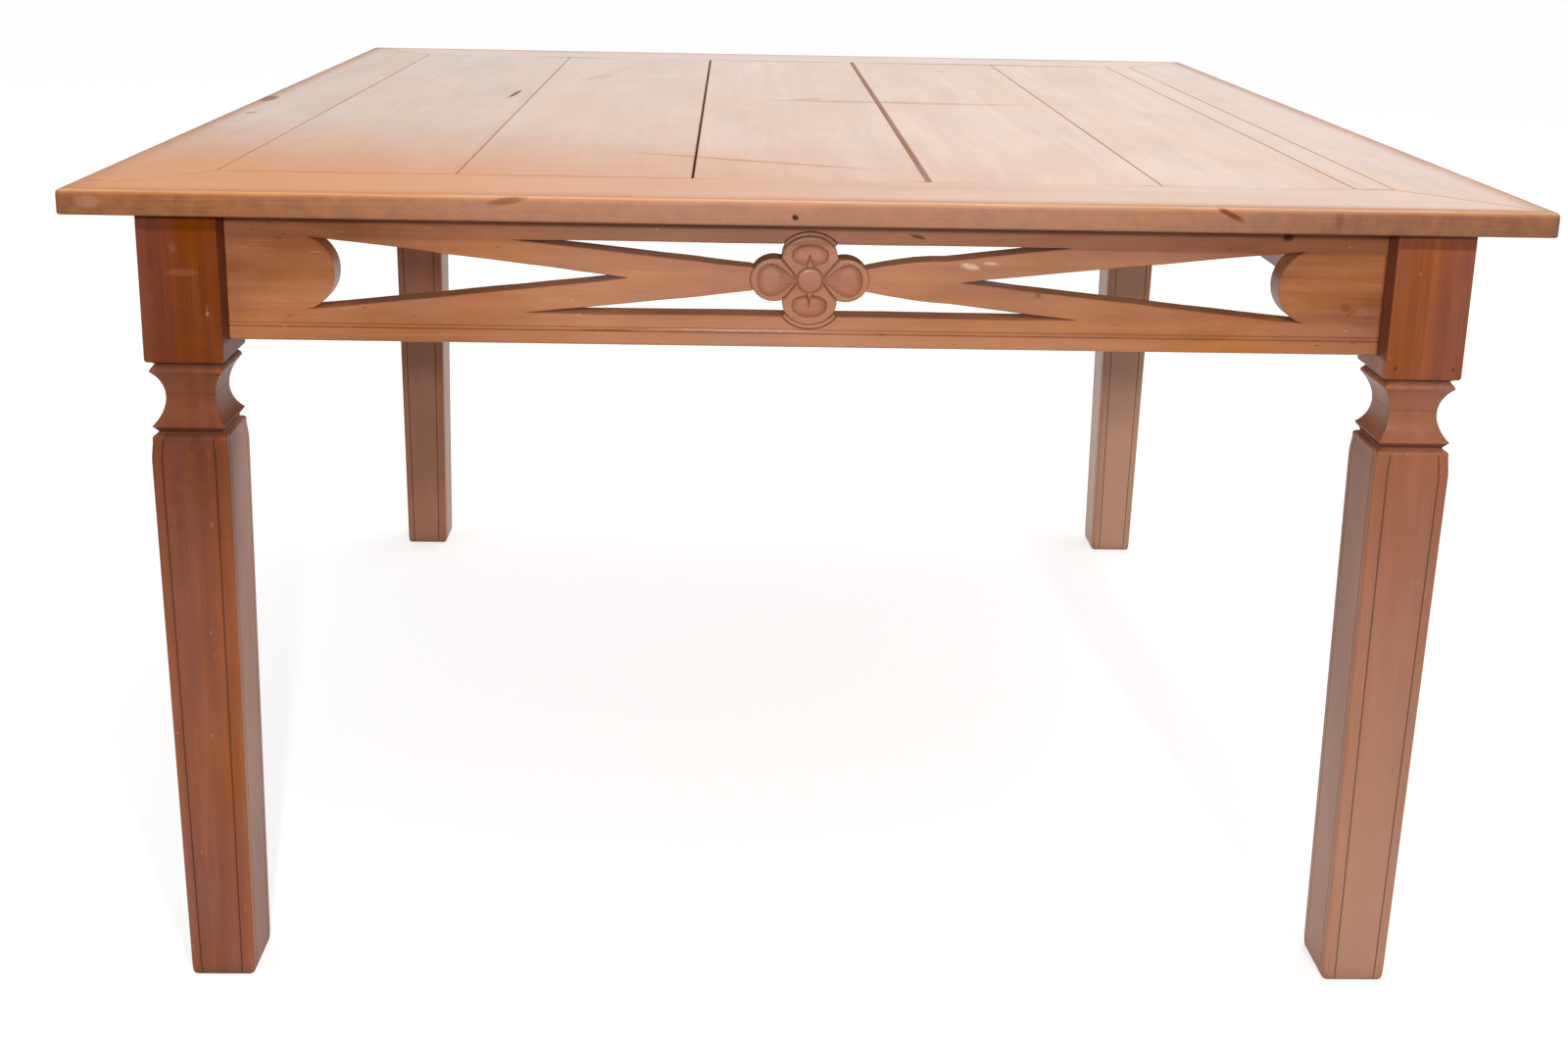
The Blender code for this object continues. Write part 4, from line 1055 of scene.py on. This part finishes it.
class TABLE_OT_aprons(bpy.types.Operator):
    """Four pierced aprons with cut lines and carved flowers, two across the ends and two along the sides"""

    bl_idname = "table.aprons"
    bl_label = "Aprons"

    def execute(self, context):
        face = -LEG_Y - APRON_HALF
        # Painted highlight in the middle, dents, stains and pale nicks on the front apron
        marks = [
            ((0.0, face, FLOWER_Z), (0, 0, 0), (0.42, 0.06, 0.13), 0.25, "faded_and_lit"),
            ((0.095, face, 0.7365), (0, 0.25, 0), (0.009, 0.004, 0.0020), 0.7, "grime_and_shade"),
            ((0.426, face, 0.7411), (0, 0, 0), (0.0060, 0.004, 0.0045), 0.85, "grime_and_shade"),
            ((0.484, face, 0.6770), (0, 0.6, 0), (0.0060, 0.004, 0.0048), 0.34, "leg_dark"),
            ((0.490, face, 0.6735), (0, -0.7, 0), (0.0090, 0.004, 0.0014), 0.40, "leg_dark"),
            ((0.205, face, 0.6844), (0, 0, 0), (0.0040, 0.004, 0.0030), 0.40, "grime_and_shade"),
            ((0.143, face, 0.7101), (0, 0.2, 0), (0.010, 0.004, 0.0035), 0.65, "nick"),
            ((0.161, face, 0.7132), (0, 0.1, 0), (0.008, 0.004, 0.0020), 0.55, "nick"),
            ((-0.182, face, 0.6467), (0, 0, 0), (0.030, 0.004, 0.0014), 0.5, "grime_and_shade"),
            ((-0.062, face, 0.6485), (0, 0, 0), (0.090, 0.004, 0.0009), 0.5, "nick"),
        ]
        end_wood = varnished_wood("end_apron_hardwood", ACROSS, marks, **APRON_FINISH)
        side_wood = varnished_wood("side_apron_hardwood", ALONG, (), **APRON_FINISH)
        # Fork of the straps, tips of the upper and lower gaps, and bend of the straps, on either side
        left, right = (0.161, 0.265, 0.253, 0.0), (0.135, 0.234, 0.241, 0.0022)
        model = apron_model(APRON_LENGTH / 2, left, right)
        places = [
            ("front", end_wood, 0.50, 0.0, LEG_Y),
            ("back", end_wood, 0.62, pi, LEG_Y),
            ("left", side_wood, 0.40, -pi / 2, LEG_X),
            ("right", side_wood, 0.57, pi / 2, LEG_X),
        ]
        for name, wood, tone, turn, reach in places:
            apron = copy_of(model, "pierced_apron_" + name)
            apron.rotation_euler = (0, 0, turn)
            apron.location = (reach * sin(turn), -reach * cos(turn), FLOWER_Z)
            settle(apron, wood, tone, ["apron_" + name], 38)
        bpy.data.meshes.remove(model.data)
        return {"FINISHED"}


def bare_wood(name, turn):
    """Sawn wood with no finish: matt, with wide soft streaks and saw marks across the grain."""
    colours = bpy.context.scene.table_colours
    made, shader, add = new_material(name)
    grain = add("Mapping", {"Vector": add("TexCoord", out="Object"), "Rotation": turn})
    # Streaks 4 mm wide and 150 mm long
    streaks = fibres(add, grain, 0.15, 0.004, 5.0, 0.6)
    # Saw marks 3 mm apart
    saw = fibres(add, grain, 0.003, 0.06, 2.0)
    stops = [(0.35, colours.bare_pale), (0.7, colours.bare_dark)]
    colour = add("ValToRGB", {"Fac": streaks}, out="Color", stops=stops)
    dull = add("MapRange", {"Value": saw, "To Min": 0.62, "To Max": 0.85})
    relief = add("Math", {0: saw, 1: 0.6, 2: streaks}, operation="MULTIPLY_ADD")
    bump = add("Bump", {"Height": relief, "Strength": 0.4, "Distance": 0.0006})
    feed(shader, {"Base Color": colour, "Roughness": dull, "Normal": bump, "IOR": 1.5})
    return made


def screw_steel():
    """Plain turned steel: grey, under a dull film of oxide."""
    colours = bpy.context.scene.table_colours
    made, shader, add = new_material("plain_screw_steel")
    # Film of oxide in 2 mm spots
    film = add("TexNoise", {"Vector": add("TexCoord", out="Object"), "Scale": 500.0, "Detail": 3.0})
    stops = [(0.4, colours.steel), (0.7, [c * 0.55 for c in colours.steel])]
    colour = add("ValToRGB", {"Fac": film}, out="Color", stops=stops)
    dull = add("MapRange", {"Value": film, "To Min": 0.28, "To Max": 0.55})
    feed(shader, {"Base Color": colour, "Roughness": dull, "Metallic": 1.0})
    return made


class TABLE_OT_joinery(bpy.types.Operator):
    """Finishes of the hidden joinery: splines, bearers, corner blocks, buttons and screws"""

    bl_idname = "table.joinery"
    bl_label = "Hidden joinery"

    def execute(self, context):
        crosswise = bare_wood("bare_wood_crosswise", ACROSS)
        lengthwise = bare_wood("bare_wood_lengthwise", ALONG)
        upright = bare_wood("bare_wood_upright", UPRIGHT)
        steel = screw_steel()
        for name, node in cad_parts.items():
            if "screw" in name:
                finish = steel
            elif name.startswith("corner_block"):
                finish = upright
            elif name.startswith(("button_left", "button_right", "bearer", "mitre_spline")):
                finish = crosswise
            elif name.startswith("button"):
                finish = lengthwise
            else:
                continue
            node.data.materials.clear()
            node.data.materials.append(finish)
        return {"FINISHED"}


def pale_floor():
    """Matt floor that looks white and throws back little light in front of the table."""
    made, shader, add = new_material("pale_floor")
    rays = add("LightPath", out=None)
    y = add("SeparateXYZ", {"Vector": add("TexCoord", out="Object")}, out="Y")
    dim = add("MapRange", {"Value": y, "From Min": -1.55, "From Max": -0.75, "To Min": 0.95, "To Max": 0.0})
    bounces = {0: rays["Is Diffuse Ray"], 1: 0.7, 2: rays["Is Glossy Ray"]}
    bounced = add("Math", bounces, operation="MULTIPLY_ADD")
    dim = add("Math", {0: dim, 1: bounced}, operation="MULTIPLY")
    grey = add("Mix", {0: dim, 6: (*linear("#D2D2D2"), 1.0), 7: (0.02, 0.02, 0.02, 1.0)}, **BLEND)
    # Just in front of the table the floor glows for reflected rays only: a painted reflection on the
    # woodwork
    sheen = add("MapRange", {"Value": y, "From Min": -0.85, "From Max": -0.25, "To Max": 0.5})
    sheen = add("Math", {0: sheen, 1: rays["Is Glossy Ray"]}, operation="MULTIPLY")
    glow = add("Math", {0: rays["Is Camera Ray"], 1: 0.62, 2: sheen}, operation="MULTIPLY_ADD")
    feed(shader, {"Base Color": grey, "Roughness": 0.9, "Specular IOR Level": 0.0})
    feed(shader, {"Emission Color": (1, 1, 1, 1), "Emission Strength": glow})
    return made


def studio_world():
    """White room that is brighter to the right and behind the table, and dimmer overhead."""
    world = bpy.data.worlds.new("studio")
    world.use_nodes = True
    add = partial(add_node, world.node_tree)
    toward = add("SeparateXYZ", {"Vector": add("TexCoord", out="Generated")}, out=None)
    sides = {"Value": toward["X"], "From Min": -0.6, "From Max": 0.4, "To Min": 0.72, "To Max": 1.04}
    heights = {"Value": toward["Z"], "From Min": 0.12, "From Max": 0.7, "To Min": 1.0, "To Max": 0.72}
    depths = {"Value": toward["Y"], "From Min": -0.8, "From Max": 0.0, "To Min": 0.30, "To Max": 1.0}
    room = add("Math", {0: add("MapRange", sides), 1: add("MapRange", heights)}, operation="MULTIPLY")
    room = add("Math", {0: room, 1: add("MapRange", depths)}, operation="MULTIPLY")
    level = add("Math", {0: add("LightPath", out="Is Camera Ray"), 1: room}, operation="MAXIMUM")
    feed(world.node_tree.nodes["Background"], {"Color": (1, 1, 1, 1), "Strength": level})
    return world


class TABLE_OT_stage(bpy.types.Operator):
    """Pale floor, soft light and the camera"""

    bl_idname = "table.stage"
    bl_label = "Stage"

    def execute(self, context):
        scene = context.scene
        scene.view_settings.view_transform = "Standard"
        deselect()
        bpy.ops.mesh.primitive_plane_add(size=60.0, location=(0, 0, 0))
        floor = context.object
        floor.name = "floor"
        floor.data.materials.append(pale_floor())
        scene.world = studio_world()
        # Place, width and power of each lamp
        lamps = [
            ("near", (-0.20, -1.99, 1.10), 0.06, 11.2),
            ("key", (0.75, -3.03, 1.88), 0.12, 25.2),
            ("overhead", (0.5, 0.2, 3.4), 3.0, 32.0),
        ]
        aim = Vector((0, 0, 0.6))
        for name, at, size, power in lamps:
            lamp = bpy.data.lights.new(name, "AREA")
            lamp.shape = "DISK"
            lamp.size = size
            lamp.energy = power
            holder = bpy.data.objects.new(name, lamp)
            scene.collection.objects.link(holder)
            holder.location = at
            holder.rotation_euler = (aim - Vector(at)).to_track_quat("-Z", "Y").to_euler()
        lens = bpy.data.cameras.new("camera")
        # The lens is shifted down, as in the photograph, whose upright lines lean in only a little
        lens.lens = 38.5485
        lens.shift_x = 0.0083
        lens.shift_y = -0.1506
        lens.clip_end = 200.0
        camera = bpy.data.objects.new("camera", lens)
        scene.collection.objects.link(camera)
        yaw, pitch, roll = -0.02451, 0.23175, 0.02068
        turn = Matrix.Rotation(yaw, 4, "Z") @ Matrix.Rotation(pi / 2 - pitch, 4, "X")
        turn = turn @ Matrix.Rotation(roll, 4, "Z")
        camera.matrix_world = Matrix.Translation((-0.07038, -2.02206, 1.0353)) @ turn
        scene.camera = camera
        return {"FINISHED"}


class TABLE_PT_sidebar(bpy.types.Panel):
    """Sizes, colours and steps of the table"""

    bl_idname = "TABLE_PT_sidebar"
    bl_label = "Dining table"
    bl_space_type = "VIEW_3D"
    bl_region_type = "UI"
    bl_category = "Table"

    def draw(self, context):
        for step in STEPS:
            self.layout.operator(step.bl_idname)
        for group in (context.scene.table_sizes, context.scene.table_colours):
            box = self.layout.box()
            for name in group.__annotations__:
                box.prop(group, name)


STEPS = (
    TABLE_OT_top_border,
    TABLE_OT_top_boards,
    TABLE_OT_legs,
    TABLE_OT_aprons,
    TABLE_OT_joinery,
    TABLE_OT_stage,
)
CLASSES = (TableSizes, TableColours, *STEPS, TABLE_PT_sidebar)


def register():
    for made in CLASSES:
        bpy.utils.register_class(made)
    bpy.types.Scene.table_sizes = PointerProperty(type=TableSizes)
    bpy.types.Scene.table_colours = PointerProperty(type=TableColours)


def unregister():
    del bpy.types.Scene.table_colours
    del bpy.types.Scene.table_sizes
    for made in reversed(CLASSES):
        bpy.utils.unregister_class(made)


def main():
    register()
    bpy.ops.table.top_border()
    bpy.ops.table.top_boards()
    bpy.ops.table.legs()
    bpy.ops.table.aprons()
    bpy.ops.table.joinery()
    bpy.ops.table.stage()


if __name__ == "__main__":
    main()
